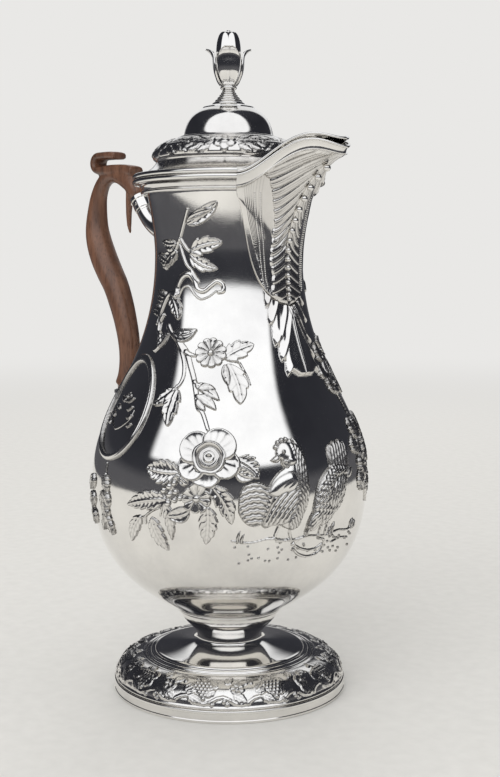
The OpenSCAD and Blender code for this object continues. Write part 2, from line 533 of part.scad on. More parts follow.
module lower_socket() {
    color(silver) difference() {
        union() {
            translate([lower_x, 0, lower_mouth_z - 8.4]) cylinder(r = lower_tube_r, h = 8.4);
            translate([lower_x, 0, lower_mouth_z - 1.8]) cylinder(r = lower_tube_r + 0.8, h = 1.4);
            translate([lower_x + lower_bend_r, 0, lower_mouth_z - 8.4]) rotate([90, 0, 0]) rotate([0, 0, 180])
                rotate_extrude(angle = 90) translate([lower_bend_r, 0]) circle(lower_tube_r);
            translate([lower_x + lower_bend_r, 0, lower_mouth_z - 8.4 - lower_bend_r]) rotate([0, 90, 0])
                cylinder(r = lower_tube_r, h = 8);
        }
        translate([lower_x, 0, lower_mouth_z - 7.4]) cylinder(r = lower_tenon_r + seam, h = 10);
        lower_pin_hole(socket_pin_r + seam);
        body_core();
    }
}
// the body as a solid, a seam larger, for pieces that are fitted to its side
module body_core() {
    rotate_extrude() polygon(concat([[0, seat_z]], offset_line(body_line, -seam), [[0, mouth_z]]));
}
module upper_socket_pin() {
    p = upper_mouth - 4 * upper_dir;
    color(silver_shade) translate([p[0], 0, p[1]]) rotate([90, 0, 0])
        cylinder(r = socket_pin_r, h = 2 * (upper_tube_r + 0.9), center = true, $fn = 32);
}
module lower_socket_pin() {
    color(silver_shade) translate([lower_x, 0, lower_mouth_z - 3.4]) rotate([90, 0, 0])
        cylinder(r = socket_pin_r, h = 2 * (lower_tube_r + 0.4), center = true, $fn = 32);
}

// ---- hinge ----
lid_z = rim_z + lid_gap;                // underside of the lid's wire
hinge_x = -(rim_r + 2.2);
hinge_z = rim_z + lid_gap / 2;
knuckle_l = hinge_l * 0.33;
module knuckle(y0, y1) {
    translate([hinge_x, y0, hinge_z]) rotate([-90, 0, 0]) cylinder(r = knuckle_r, h = y1 - y0, $fn = 48);
}
module pin_bore() {
    translate([hinge_x, 0, hinge_z]) rotate([90, 0, 0])
        cylinder(r = hinge_pin_r + pin_clear, h = hinge_l + 4, center = true, $fn = 48);
}
module hinge_body_leaf() {
    y0 = knuckle_l / 2 + knuckle_gap;
    color(silver_shade) difference() {
        for (s = [-1, 1]) mirror([0, s < 0 ? 1 : 0, 0]) {
            knuckle(y0, hinge_l / 2);
            translate([hinge_x - 0.4, y0, rim_z - 2 * rim_wire_r]) cube([5, hinge_l / 2 - y0, 2 * rim_wire_r - 0.5]);
        }
        pin_bore();
        translate([0, 0, rim_z - 8]) cylinder(r = rim_r + seam, h = 12);
    }
}
module hinge_lid_leaf() {
    y0 = knuckle_l / 2;
    color(silver_shade) difference() {
        union() {
            knuckle(-y0, y0);
            translate([hinge_x - 0.4, -y0, lid_z + 0.3]) cube([5, 2 * y0, 2 * rim_wire_r - 0.6]);
        }
        pin_bore();
        translate([0, 0, rim_z - 8]) cylinder(r = rim_r + seam, h = 12);
    }
}
module hinge_pin() {
    color(silver) translate([hinge_x, 0, hinge_z]) rotate([90, 0, 0])
        cylinder(r = hinge_pin_r, h = hinge_l + 0.6, center = true, $fn = 48);
}

// ---- lid ----
band_z = lid_z + 10.7;                  // widest point of the chased band
seat2_z = lid_z + 19.6;                 // foot of the dome
dome_top = seat2_z + dome_h;
flange_in = rim_r - 2 * rim_wire_r - seam;
// outline of the lid's top, from the flange inwards
lid_line = concat(
    curve([[flange_in, lid_z + 1.9], [flange_in - 3, lid_z + 2.2], [band_r - 1.2, lid_z + 5.2], [band_r - 2.2, lid_z + 8]], 8),
    curve([[band_r - 2, lid_z + 8.6], [band_r + 0.9, lid_z + 9.2], [band_r + 0.4, band_z + 4],
        [dome_r + 8, seat2_z - 1.6], [dome_r + 3.4, seat2_z - 0.9]], 12),
    arc([dome_r + 2.2, seat2_z - 0.6], 0.7, 20, 140, 5),
    curve([[dome_r + 0.6, seat2_z], [dome_r - 0.9, seat2_z + 0.8], [dome_r + 0.4, seat2_z + dome_h * 0.72],
        [dome_r - 6.4, seat2_z + dome_h * 0.86], [dome_r * 0.5913, dome_top - 0.3]], 12));
module lid_cover() {
    under = [for (p = offset_line(lid_line, sheet)) if (p[0] < flange_in - 3.2 && p[1] > lid_z + 1.6
        && p[1] < dome_top - 2) p];
    color(silver) difference() {
        rotate_extrude() polygon(concat([[mouth_r - sheet - 2.2, lid_z], [flange_in, lid_z]], lid_line,
            [[0, dome_top - 0.3]], [[0, dome_top - 0.3 - 1.8]], [[10.5, dome_top - 2.1]],
            rev(under), [[mouth_r - sheet - 2.2, lid_z + 1.6]]));
        // the flange stops where the beak's cover takes over
        difference() {
            translate([0, 0, lid_z - 1]) rotate([0, 0, -spout_half_angle]) rotate_extrude(angle = 2 * spout_half_angle)
                square([60, 5.15]);
            translate([0, 0, lid_z - 2]) cylinder(r = cover_in_r - seam, h = 12);
        }
        translate([0, 0, dome_top - 6]) cylinder(r = stud_r + seam, h = 10, $fn = 48);
    }
}
module lid_rim_wire() {
    c = lid_z + rim_wire_r;
    color(silver) open_ring() polygon(concat([[flange_in + seam, c - rim_wire_r + 0.3]],
        arc([rim_r - rim_wire_r, c], rim_wire_r, -90, 90, 16), [[flange_in + seam, c + rim_wire_r - 0.3]]));
}
bezel_out = mouth_r - sheet - 0.5;
module lid_bezel() {
    color(silver_shade) open_ring(spout_half_angle + 4) polygon([[bezel_out - 1.2, lid_z - bezel_h],
        [bezel_out - 0.4, lid_z - bezel_h], [bezel_out, lid_z - bezel_h + 1], [bezel_out, lid_z - seam],
        [bezel_out - 1.2, lid_z - seam]]);
}
// tongue over the beak: from an arc on the lid out to a wire that follows the beak's edge
cover_in_r = band_r + 2.4;
function cover_edge(w) = let (t = 1 - abs(w), p = edge(edge_wall_r, spout_reach - 1.4, w))
    [p[0], p[1], beak_top_z(t) - beak_wire_r + 1.5 + 2.2 * t * t];
module lid_beak_cover() {
    n = 44;
    m = 8;
    thick = 1.1;
    in_z = lid_z + 4.0;
    ws = [for (i = [0:n]) -1 + 2 * i / n];
    function cover_pt(w, f, d) = let (a = polar(cover_in_r + seam, spout_half_angle * w, in_z - d), e = cover_edge(w),
        b = [e[0], e[1], e[2] + 0.5 - d], c = [mid(a[0], b[0], 0.5), mid(a[1], b[1], 0.5), a[2] + (b[2] - a[2]) * 0.35])
        bez([a, c, b], f);
    color(silver) union() {
        skin([for (w = ws) [for (j = [0:m]) cover_pt(w, j / m, thick)]],
            [for (w = ws) [for (j = [0:m]) cover_pt(w, j / m, 0)]]);
        wire3([for (w = ws) cover_edge(w)], beak_wire_r, 8);
    }
}

// ---- finial ----
stud_r = 1.5;
bud_z = dome_top + finial_h * 0.29;
finial_top = dome_top + finial_h;
bud_h = finial_top - bud_z;
module finial_base() {
    z = dome_top - 0.3 + seam;
    k = (bud_z - z) / 10.4;
    q = dome_r / 20.8;
    color(silver) rotate_extrude() polygon([[stud_r + seam, z], [12.2 * q, z], [11.9 * q, z + 0.9 * k],
        [10 * q, z + 1.2 * k], [9.6 * q, z + 1.9 * k], [7.2 * q, z + 2.5 * k], [6.8 * q, z + 3.2 * k],
        [5.4 * q, z + 4.2 * k], [4 * q, z + 5.5 * k], [3.2, z + 6.8 * k], [2.7, z + 8.6 * k], [3.7, z + 9.2 * k],
        [3.8, z + 9.8 * k], [3.2, z + 10.4 * k], [stud_r + seam, z + 10.4 * k]]);
}
// the closed bud: four petals that swell from a slim foot round a core
petal_out = 2.2;
petal_line = let (h = bud_h - seam) curve([[0.9, 0], [1.2, h * 0.2], [6.7, h * 0.42], [3.8, h * 0.72],
    [4.4, h * 0.97], [0, h * 0.97]], 14);
module finial_bud() {
    h = bud_h - seam;
    color(silver) translate([0, 0, bud_z + seam]) difference() {
        union() {
            for (i = [0:3]) rotate([0, 0, 90 * i]) translate([petal_out, 0, 0]) rotate_extrude($fn = 64)
                polygon(concat([[0, 0]], petal_line));
            rotate_extrude($fn = 64) polygon(concat([[0, 0]], curve([[2.9, 0], [3.4, h * 0.25],
                [5.4, h * 0.5], [2.2, h * 0.8], [3, h], [0, h]], 12)));
        }
        translate([0, 0, -1]) cylinder(r = stud_r + seam, h = 9, $fn = 48);
    }
}
// one leaf, cut from a flaring shell by a pointed outline
module finial_leaf(reach) {
    line = curve([[3.8, 0], [5.2, bud_h * 0.2], [9.4, bud_h * 0.42], [6.9, bud_h * 0.55], [reach, bud_h * 0.64]], 12);
    intersection() {
        rotate_extrude() polygon(concat(line, rev(offset_line(line, 0.8))));
        rotate([90, 0, 90]) linear_extrude(14) polygon(concat([[-2.1, 0], [2.1, 0]],
            curve([[2.1, 0.1], [5.2, bud_h * 0.25], [5.4, bud_h * 0.45], [0.7, bud_h * 0.66]], 8),
            rev(curve([[-2.1, 0.1], [-5.2, bud_h * 0.25], [-5.4, bud_h * 0.45], [-0.7, bud_h * 0.66]], 8))));
    }
}
module finial_leaves() {
    color(silver_shade) translate([0, 0, bud_z + seam]) difference() {
        for (i = [0:3]) rotate([0, 0, 90 * i - 45]) finial_leaf(10);
        rotate_extrude() polygon(concat([[0, -1], [petal_out + 0.9 + seam, -1]],
            [for (p = petal_line) [p[0] + petal_out + seam, p[1]]], [[0, bud_h]]));
    }
}
module finial_stud() {
    color(silver_shade) translate([0, 0, dome_top - 5.2]) cylinder(r = stud_r, h = bud_z - dome_top + 5.2 + 7.4, $fn = 48);
}
module finial_nut() {
    color(silver_shade) translate([0, 0, dome_top - 2.1 - 2.4]) difference() {
        cylinder(r = 3.6, h = 2.4 - seam, $fn = 6);
        translate([0, 0, -1]) cylinder(r = stud_r + seam, h = 5, $fn = 48);
    }
}

body_shell();
collar_wire();
collar_band();
rim_wire();
spout();
spout_rim();
spout_keel_beads();
spout_drop();
foot_rim();
foot_border();
foot_pedestal();
stem_ring_upper();
stem_ring_lower();
upper_socket();
lower_socket();
handle_grip();
upper_socket_pin();
lower_socket_pin();
hinge_body_leaf();
hinge_lid_leaf();
hinge_pin();
lid_cover();
lid_rim_wire();
lid_bezel();
lid_beak_cover();
finial_base();
finial_bud();
finial_leaves();
finial_stud();
finial_nut();
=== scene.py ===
# A silver coffee pot with chased flowers and birds and a carved wooden handle,
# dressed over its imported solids. Lengths in this file are millimetres until a mesh is made.
import json
import math

import bpy
import numpy as np
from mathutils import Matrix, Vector

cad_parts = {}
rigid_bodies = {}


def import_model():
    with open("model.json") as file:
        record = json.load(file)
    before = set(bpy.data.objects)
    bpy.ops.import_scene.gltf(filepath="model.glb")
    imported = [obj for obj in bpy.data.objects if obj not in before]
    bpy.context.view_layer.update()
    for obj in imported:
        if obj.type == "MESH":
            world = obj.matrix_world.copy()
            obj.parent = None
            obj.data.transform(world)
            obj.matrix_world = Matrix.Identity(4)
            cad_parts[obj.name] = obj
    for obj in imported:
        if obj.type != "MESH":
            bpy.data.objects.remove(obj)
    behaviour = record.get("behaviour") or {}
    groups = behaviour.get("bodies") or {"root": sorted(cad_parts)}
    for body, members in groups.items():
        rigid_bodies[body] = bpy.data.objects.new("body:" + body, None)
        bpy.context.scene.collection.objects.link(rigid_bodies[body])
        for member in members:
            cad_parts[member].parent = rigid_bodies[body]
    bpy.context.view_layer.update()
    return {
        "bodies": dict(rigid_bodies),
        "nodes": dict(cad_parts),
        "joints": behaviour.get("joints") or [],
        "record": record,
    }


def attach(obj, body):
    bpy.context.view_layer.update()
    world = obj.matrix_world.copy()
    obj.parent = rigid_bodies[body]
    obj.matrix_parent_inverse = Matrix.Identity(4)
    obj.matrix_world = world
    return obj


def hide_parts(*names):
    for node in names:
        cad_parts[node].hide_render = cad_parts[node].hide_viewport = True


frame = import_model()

DEG = math.pi / 180
METRES = 0.001


# ---- curves
def bez(points, t):
    """A Bezier curve from its control points, or from plain numbers, for t as a number or array."""
    p = [np.asarray(q, float) for q in points]
    t = np.asarray(t, float)[(...,) + (None,) * p[0].ndim]
    while len(p) > 1:
        p = [a * (1 - t) + b * t for a, b in zip(p, p[1:])]
    return p[0]


def curve(points, steps):
    """The same as evenly stepped points, from end to end."""
    return bez(points, np.linspace(0, 1, steps))


def arc(cx, cz, r, a0, a1, n):
    a = np.linspace(a0, a1, n + 1) * DEG
    return np.stack([cx + r * np.cos(a), cz + r * np.sin(a)], 1)


def unit(v):
    return v / np.linalg.norm(v, axis=-1, keepdims=True)


def run_of(line):
    """Distance along a line at each of its points."""
    return np.concatenate([[0], np.cumsum(np.hypot(*np.diff(line, axis=0).T))])


def left_of(t):
    return np.stack([-t[:, 1], t[:, 0]], 1)


def offset_line(line, d):
    """A line moved by d to its left."""
    return line + d * left_of(unit(np.gradient(line, axis=0)))


def through(points, k, closed=False):
    """Catmull-Rom curve through points, k steps between neighbours."""
    p = np.asarray(points, float)
    n = len(p)
    out = []
    for i in range(n if closed else n - 1):
        a, b, c, d = (p[(i + o) % n] if closed else p[min(max(i + o, 0), n - 1)] for o in (-1, 0, 1, 2))
        for t in np.arange(k) / k:
            out.append(0.5 * (2 * b + (c - a) * t + (2 * a - 5 * b + 4 * c - d) * t * t
                              + (3 * b - a - 3 * c + d) * t ** 3))
    return np.array(out if closed else out + [p[-1]])


def soft(x):
    """A smooth step from 0 to 1."""
    x = np.clip(x, 0, 1)
    return x * x * (3 - 2 * x)


def bump(x, width):
    """A bell of height 1 round 0."""
    return np.exp(-(x / width) ** 2)


def mix(a, b, f):
    return a + (b - a) * f


def read(table, x, of=0, value=1):
    """The value column of a table at x, read straight between its rows."""
    return np.interp(x, table[:, of], table[:, value])


def spun(x, y, turn):
    c, s = math.cos(turn), math.sin(turn)
    return x * c + y * s, y * c - x * s


# ---- materials
def colour(hex6):
    """sRGB hex to a linear RGBA."""
    c = [int(hex6[i:i + 2], 16) / 255 for i in (1, 3, 5)]
    return tuple(v / 12.92 if v <= 0.04045 else ((v + 0.055) / 1.055) ** 2.4 for v in c) + (1.0,)


def add(tree, kind, settings=None, **links):
    """Adds a node. Settings are its attributes, or the stops of a ramp. Links are input sockets by name
    or number (as _0, _1), each given a value, an output or a node that stands for its first output."""
    node = tree.nodes.new(kind)
    for key, value in (settings or {}).items():
        if key != "stops":
            setattr(node, key, value)
            continue
        elements = node.color_ramp.elements
        while len(elements) < len(value):
            elements.new(0.5)
        for element, (at, tone) in zip(elements, value):
            element.position, element.color = at, colour(tone)
    for key, value in links.items():
        socket = node.inputs[int(key[1:]) if key[1:].isdigit() else key.replace("_", " ")]
        if isinstance(value, bpy.types.Node):
            value = value.outputs[0]
        if isinstance(value, bpy.types.NodeSocket):
            tree.links.new(value, socket)
        else:
            socket.default_value = value
    return node


def new_material(name):
    """An empty material, its tree of nodes and the place on the object."""
    material = bpy.data.materials.new(name)
    material.use_nodes = True
    tree = material.node_tree
    tree.nodes.clear()
    return material, tree, add(tree, "ShaderNodeTexCoord").outputs["Object"]


# the grey of tarnish and of painted shade, laid into the chased work's creases and hollows
TARNISH_AND_SHADE, TARNISH_AND_SHADE_ROUGH = "#4E4A47", 0.35


def silver_finish(name, bright, shade, rough, flat_mm, recess):
    """Sterling silver, raised and planished by hand, then polished with rouge: nearly white, slightly warm, mirror
    bright. The eye gets clouds of handling haze a few centimetres across, the faint flats of the hammer, and hair
    scratches. A chased surface keeps grey tarnish in its recesses, and there painted shade darkens its colour as well."""
    material, tree, place = new_material(name)
    haze = add(tree, "ShaderNodeTexNoise", Vector=place, Scale=38.0, Detail=4.0, Roughness=0.6)
    tone = add(tree, "ShaderNodeValToRGB", {"stops": [(0.30, shade), (0.62, bright)]}, Fac=haze)
    gloss = add(tree, "ShaderNodeMapRange", Value=haze, From_Min=0.35, From_Max=0.75, To_Min=rough, To_Max=rough + 0.05)
    # painted shade with tarnish: the recess attribute darkens the colour and roughens the surface in creases, grooves
    # and hollows, patchily
    if recess:
        cut = add(tree, "ShaderNodeAttribute", {"attribute_name": "recess"}).outputs["Fac"]
        patch_noise = add(tree, "ShaderNodeTexNoise", Vector=place, Scale=900.0, Detail=2.0)
        patchy = add(tree, "ShaderNodeMapRange", Value=patch_noise, From_Min=0.3, From_Max=0.7, To_Min=0.7, To_Max=1.0)
        tarnish_and_shade_amount = add(tree, "ShaderNodeMath", {"operation": "MULTIPLY"}, _0=cut, _1=patchy)
        tone = add(tree, "ShaderNodeMix", {"data_type": "RGBA"}, Factor=tarnish_and_shade_amount, A=tone,
                   B=colour(TARNISH_AND_SHADE)).outputs["Result"]
        gloss = add(tree, "ShaderNodeMath", {"operation": "MULTIPLY_ADD"}, _0=tarnish_and_shade_amount, _1=TARNISH_AND_SHADE_ROUGH, _2=gloss)
    flats = add(tree, "ShaderNodeTexVoronoi", {"feature": "SMOOTH_F1"}, Vector=place, Scale=1 / (flat_mm * METRES),
                Smoothness=1.0)
    hammer = add(tree, "ShaderNodeBump", Strength=0.25, Distance=0.00008, Height=flats)
    lines = add(tree, "ShaderNodeMapping", Vector=place, Scale=(60.0, 60.0, 700.0))
    scratch = add(tree, "ShaderNodeTexNoise", Vector=lines, Scale=9.0, Detail=3.0)
    hair = add(tree, "ShaderNodeBump", Strength=0.10, Distance=0.00004, Height=scratch, Normal=hammer)
    silver = add(tree, "ShaderNodeBsdfPrincipled", Metallic=1.0, Base_Color=tone, Roughness=gloss, Normal=hair)
    add(tree, "ShaderNodeOutputMaterial", Surface=silver)
    return material


polished_silver = silver_finish("sterling silver, polished", "#F4F2EE", "#E4E2DF", 0.055, 9.0, False)
chased_silver = silver_finish("sterling silver, chased", "#F2F0EC", "#DEDBD7", 0.10, 3.0, True)


def wood_finish():
    """Fruitwood carved with the grain along the scroll, oiled and worn satin: a quiet mid brown that
    darkens in slow streaks some 5 mm apart, with fine pores along the grain and a soft sheen."""
    material, tree, place = new_material("fruitwood, carved and oiled")
    along = add(tree, "ShaderNodeMapping", Vector=place, Scale=(1.0, 1.0, 0.12))
    drift = add(tree, "ShaderNodeTexNoise", Vector=along, Scale=45.0, Detail=3.0)
    wander = add(tree, "ShaderNodeVectorMath", {"operation": "MULTIPLY_ADD"}, _0=drift.outputs["Color"],
                 _1=(0.006, 0.006, 0.002), _2=along)
    streaks = add(tree, "ShaderNodeTexNoise", Vector=wander, Scale=200.0, Detail=5.0, Roughness=0.6)
    pores = add(tree, "ShaderNodeTexNoise", Vector=along, Scale=1500.0, Detail=2.0)
    base = add(tree, "ShaderNodeValToRGB", {"stops": [(0.30, "#553A2C"), (0.50, "#6C4A38"), (0.72, "#805B46")]},
               Fac=streaks)
    worn = add(tree, "ShaderNodeValToRGB", {"stops": [(0.34, "#6A4A38"), (0.46, "#FFFFFF")]}, Fac=pores)
    tone = add(tree, "ShaderNodeMix", {"data_type": "RGBA", "blend_type": "MULTIPLY"}, Factor=0.5, A=base, B=worn)
    gloss = add(tree, "ShaderNodeMapRange", Value=drift, From_Min=0.3, From_Max=0.7, To_Min=0.33, To_Max=0.45)
    relief = add(tree, "ShaderNodeBump", Strength=0.3, Distance=0.0001, Height=pores)
    wood = add(tree, "ShaderNodeBsdfPrincipled", Specular_IOR_Level=0.5, Coat_Weight=0.35, Coat_Roughness=0.30,
               Base_Color=tone.outputs["Result"], Roughness=gloss, Normal=relief)
    add(tree, "ShaderNodeOutputMaterial", Surface=wood)
    return material


carved_wood = wood_finish()


# ---- meshes
def make_piece(name, points, faces, material, sharp=None, recess=None):
    """A mesh object from points in mm and rows of corner numbers (quads, -1 in the last place for
    a triangle). Faces are turned outwards by the sign of the volume they close."""
    points = np.asarray(points, float)
    faces = np.asarray(faces, int)
    tri = faces[:, 3] < 0
    a, b, c = (points[faces[:, k]] for k in range(3))
    d = points[np.where(tri, faces[:, 2], faces[:, 3])]
    volume = np.einsum("ij,ij->", a, np.cross(b, c)) + np.einsum("ij,ij->", a, np.cross(c, d))
    if volume < 0:
        faces = np.where(tri[:, None], faces[:, [2, 1, 0, 3]], faces[:, ::-1])
    sizes = np.where(tri, 3, 4)
    corners = faces[faces >= 0]
    mesh = bpy.data.meshes.new(name)
    mesh.vertices.add(len(points))
    mesh.vertices.foreach_set("co", (points * METRES).ravel())
    mesh.loops.add(len(corners))
    mesh.loops.foreach_set("vertex_index", corners.astype(np.int32))
    mesh.polygons.add(len(faces))
    mesh.polygons.foreach_set("loop_start", np.concatenate([[0], np.cumsum(sizes)[:-1]]).astype(np.int32))
    mesh.polygons.foreach_set("use_smooth", np.ones(len(faces), bool))
    mesh.update(calc_edges=True)
    mesh.validate()
    if recess is not None:
        layer = mesh.attributes.new("recess", "FLOAT", "POINT")
        layer.data.foreach_set("value", np.asarray(recess, np.float32).ravel())
    if sharp:
        mesh.set_sharp_from_angle(angle=sharp * DEG)
    mesh.materials.append(material)
    piece = bpy.data.objects.new(name, mesh)
    bpy.context.scene.collection.objects.link(piece)
    return piece


def grid(rows, cols, wrap_rows=False, wrap_cols=False, start=0):
    """The quads between rows of points, numbered row by row from start."""
    j, i = np.meshgrid(np.arange(rows if wrap_rows else rows - 1), np.arange(cols if wrap_cols else cols - 1),
                       indexing="ij")
    k = lambda r, c: (r % rows) * cols + (c % cols) + start
    return np.stack([k(j, i), k(j, i + 1), k(j + 1, i + 1), k(j + 1, i)], -1).reshape(-1, 4)


def sweep(name, loops, material, sharp=None, thin=False, middles=None):
    """A closed section, one loop of points for each place along a run. Its ends are closed round their
    middles or, where the section is thin and comes back along itself, straight across."""
    loops = np.asarray(loops, float)
    rows, n = loops.shape[:2]
    points = loops.reshape(-1, 3)
    last = (rows - 1) * n
    if thin:
        k = np.arange(n // 2 - 1)
        end = np.stack([k, n - 1 - k, n - 2 - k, k + 1], 1)
        ends = [end, end[:, ::-1] + last]
    else:
        k = np.arange(n)
        ends = [np.stack([first + k, mid + 0 * k, first + (k + 1) % n, 0 * k - 1], 1)[:, order]
                for first, mid, order in ((0, rows * n, [0, 1, 2, 3]), (last, rows * n + 1, [0, 2, 1, 3]))]
        points = np.vstack([points, [loops[0].mean(0), loops[-1].mean(0)] if middles is None else middles])
    return make_piece(name, points, np.vstack([grid(rows, n, False, True)] + ends), material, sharp)


def turn_line(line, azimuths):
    """Rows of a profile turned about the axis: an array profile x azimuth x 3."""
    a = np.asarray(azimuths)[None, :] * DEG
    r = line[:, 0, None]
    return np.stack([r * np.cos(a), r * np.sin(a), np.broadcast_to(line[:, 1, None], (len(line), a.shape[1]))], -1)


def lathe(name, section, material, columns=384, gap=0.0, sharp=30):
    """A closed section turned about the axis, all round or leaving out the spout's sector."""
    section = np.vstack(section)
    if gap:
        turned = turn_line(section, np.linspace(gap, 360 - gap, columns))
        return sweep(name, turned.transpose(1, 0, 2), material, sharp)
    turned = turn_line(section, np.arange(columns) * 360 / columns)
    return make_piece(name, turned.reshape(-1, 3), grid(len(section), columns, True, True), material, sharp)


def tube(name, path, sizes, material, sides=14, power=2.0, level=False):
    """A bar along points in the plane of the handle, or a wire along any points if level. Sizes are
    half depths and half widths, or a radius; a higher power makes it squarer."""
    path = np.asarray(path, float)
    sizes = np.broadcast_to(sizes, (len(path), 2))[:, None]
    t = unit(np.gradient(path, axis=0))
    side = unit(np.cross(t, [0, 0, 1])) if level else np.broadcast_to([0.0, 1, 0], path.shape)
    up = unit(np.cross(side, t))
    a = (np.arange(sides) + 0.5) * 2 * math.pi / sides
    c, s = (np.sign(f) * np.abs(f) ** (2 / power) for f in (np.cos(a), np.sin(a)))
    return sweep(name, path[:, None] + (sizes[..., 0] * s)[..., None] * up[:, None]
                 + (sizes[..., 1] * c)[..., None] * side[:, None], material)


def join(name, pieces):
    bpy.ops.object.select_all(action="DESELECT")
    for piece in pieces:
        piece.select_set(True)
    bpy.context.view_layer.objects.active = pieces[0]
    bpy.ops.object.join()
    pieces[0].name = name
    return pieces[0]


def settle(piece, body, slot, *nodes):
    """Puts a piece with the body it rides with and hides the nodes it stands in for. The slot is not used."""
    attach(piece, body)
    if nodes:
        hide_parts(*nodes)


# ---- chasing
class Chasing:
    """Raised work on a turned surface: height in mm over the wall, on a grid of azimuth (degrees)
    and distance along the outline (mm). Bare ground lies under the wall, so only the work shows."""

    def __init__(self, line, az0, az1, s0, s1, step, ground=-0.3):
        run = run_of(line)
        self.s = np.arange(s0, s1 + step / 2, step)
        self.r = np.interp(self.s, run, line[:, 0])
        self.z = np.interp(self.s, run, line[:, 1])
        self.nr, self.nz = np.gradient(self.z, self.s), -np.gradient(self.r, self.s)
        self.az = np.linspace(az0, az1, int((az1 - az0) * DEG * self.r.max() / step) + 1)
        self.ground = ground
        self.h = np.full((len(self.s), len(self.az)), float(ground))
        # the dark share of the colour: painted shade in creases, grooves, hollows and under overhangs, with tarnish
        self.dark = np.zeros_like(self.h)

    def at(self, z):
        return np.interp(z, self.z, self.s)

    def radius(self, s):
        return np.interp(s, self.s, self.r)

    def stamp(self, az, s, reach, shape, turn=0.0, over=0.25):
        """Lays a shape at a spot: shape(x, y) gives height, shade and cover for places in mm round it.
        Over is the share of the older work that still lifts it."""
        r = self.radius(s)
        i = np.flatnonzero(np.abs(self.s - s) < reach)
        j = np.flatnonzero(np.abs(self.az - az) * DEG * r < reach)
        if len(i) < 2 or len(j) < 2:
            return
        box = np.s_[i[0]:i[-1] + 1, j[0]:j[-1] + 1]
        u, v = np.broadcast_arrays((self.az[None, box[1]] - az) * DEG * r, self.s[box[0], None] - s)
        high, dark, cover = shape(*spun(u, v, turn))
        old = self.h[box]
        self.h[box] = old * (1 - cover) + (high + over * np.maximum(old, 0)) * cover
        self.dark[box] = np.maximum(self.dark[box] * (1 - cover), dark)

    def dots(self, spots, size, lift, cup, over=0.25, reach=2):
        """Small round grains, each at an azimuth and height."""
        for az, z in np.reshape(spots, (-1, 2)):
            self.stamp(az, self.at(z), reach, lobe(size, size, lift, cup), over=over)

    def leaf(self, base, tip, width, **look):
        """A leaf from its base to its tip, both as azimuth and height on the outline."""
        s = self.at(base[1])
        mid, r = self.radius(self.at((base[1] + tip[1]) / 2)), self.radius(s)
        dx, dy = (tip[0] - base[0]) * DEG * mid, self.at(tip[1]) - s
        size = math.hypot(dx, dy)
        # the stamp works with the radius at the base; leaves are short enough for that
        self.stamp(base[0], s, size * 1.25 + width, leaf(size, width, **look), math.atan2(dy, dx * r / mid))

    def leaves(self, rows):
        """Leaves from rows of base, tip, width and then, as far as given, bow, lobes, veins, cup, lift."""
        for az0, z0, az1, z1, width, *look in rows:
            self.leaf((az0, z0), (az1, z1), width, **dict(zip(("bow", "lobes", "veins", "cup", "lift"), look)))

    def over_points(self, points, margin, shape, *form, over=0.25, **more):
        """Lays a shape that is drawn by points, given as azimuth and height."""
        p = np.reshape(points, (-1, 2)).astype(float)
        if shape is cord:
            p = through(p, 6)
        az, s = p[:, 0].mean(), self.at(p[:, 1].mean())
        q = np.stack([(p[:, 0] - az) * DEG * self.radius(s), self.at(p[:, 1]) - s], 1)
        self.stamp(az, s, np.abs(q).max() + margin, shape(q, *form, **more), over=over)

    def stem(self, points, width=1.2, high=0.7, taper=0.6):
        self.over_points(points, 3, cord, width, high, taper, over=0.6)

    def patch(self, points, look, lift=0.6, swell=0.9, roll=3.0):
        """A pillow over a closed outline."""
        self.over_points(points, 2, blob, look, lift, swell, roll)

    def surface(self, high, mirror=1):
        a = self.az[None, :] * DEG * mirror
        r = self.r[:, None] + self.nr[:, None] * high
        z = self.z[:, None] + self.nz[:, None] * high + 0 * a
        return np.stack([r * np.cos(a), r * np.sin(a), z], -1)

    def piece(self, name, mirror=1, back=-0.7):
        """The raised work alone, with a back inside the wall."""
        up = self.h > self.ground + 0.03
        keep = up[:-1, :-1] | up[1:, :-1] | up[:-1, 1:] | up[1:, 1:]
        keep[0] = keep[-1] = False
        keep[:, 0] = keep[:, -1] = False
        n, cols = self.h.size, len(self.az)
        j, i = np.nonzero(keep)
        k = j * cols + i
        front = np.stack([k, k + 1, k + cols + 1, k + cols], 1)
        parts = [front, front[:, ::-1] + n]
        for dj, di, p, q in ((-1, 0, 0, 1), (0, 1, 1, 2), (1, 0, 2, 3), (0, -1, 3, 0)):
            edge = ~keep[j + dj, i + di]
            a, b = front[edge, p], front[edge, q]
            parts.append(np.stack([b, a, a + n, b + n], 1))
        points = np.concatenate([self.surface(self.h, mirror).reshape(-1, 3),
                                 self.surface(np.full_like(self.h, back), mirror).reshape(-1, 3)])
        dark = np.concatenate([self.dark.ravel(), np.zeros(n)])
        used, faces = np.unique(np.concatenate(parts), return_inverse=True)
        return make_piece(name, points[used], faces.reshape(-1, 4), chased_silver, recess=dark[used])


# The functions from leaf to cord and blob each make a shape for a stamp. The shade they give is painted into the
# colour: painted shade in creases, grooves and hollows, with tarnish.
def edged(high, dark, out, shade_end=0.35):
    """A shape's height, shade and cover. Out is the distance in mm past its edge: the shade stops a
    little outside it and the cover fades over half a millimetre."""
    return high, dark * (out < shade_end), soft(0.5 - out / 0.5)


def crease(out, width=0.3):
    """The dark line round raised work: painted shade in its crease, with tarnish."""
    return 0.8 * bump(out, width)


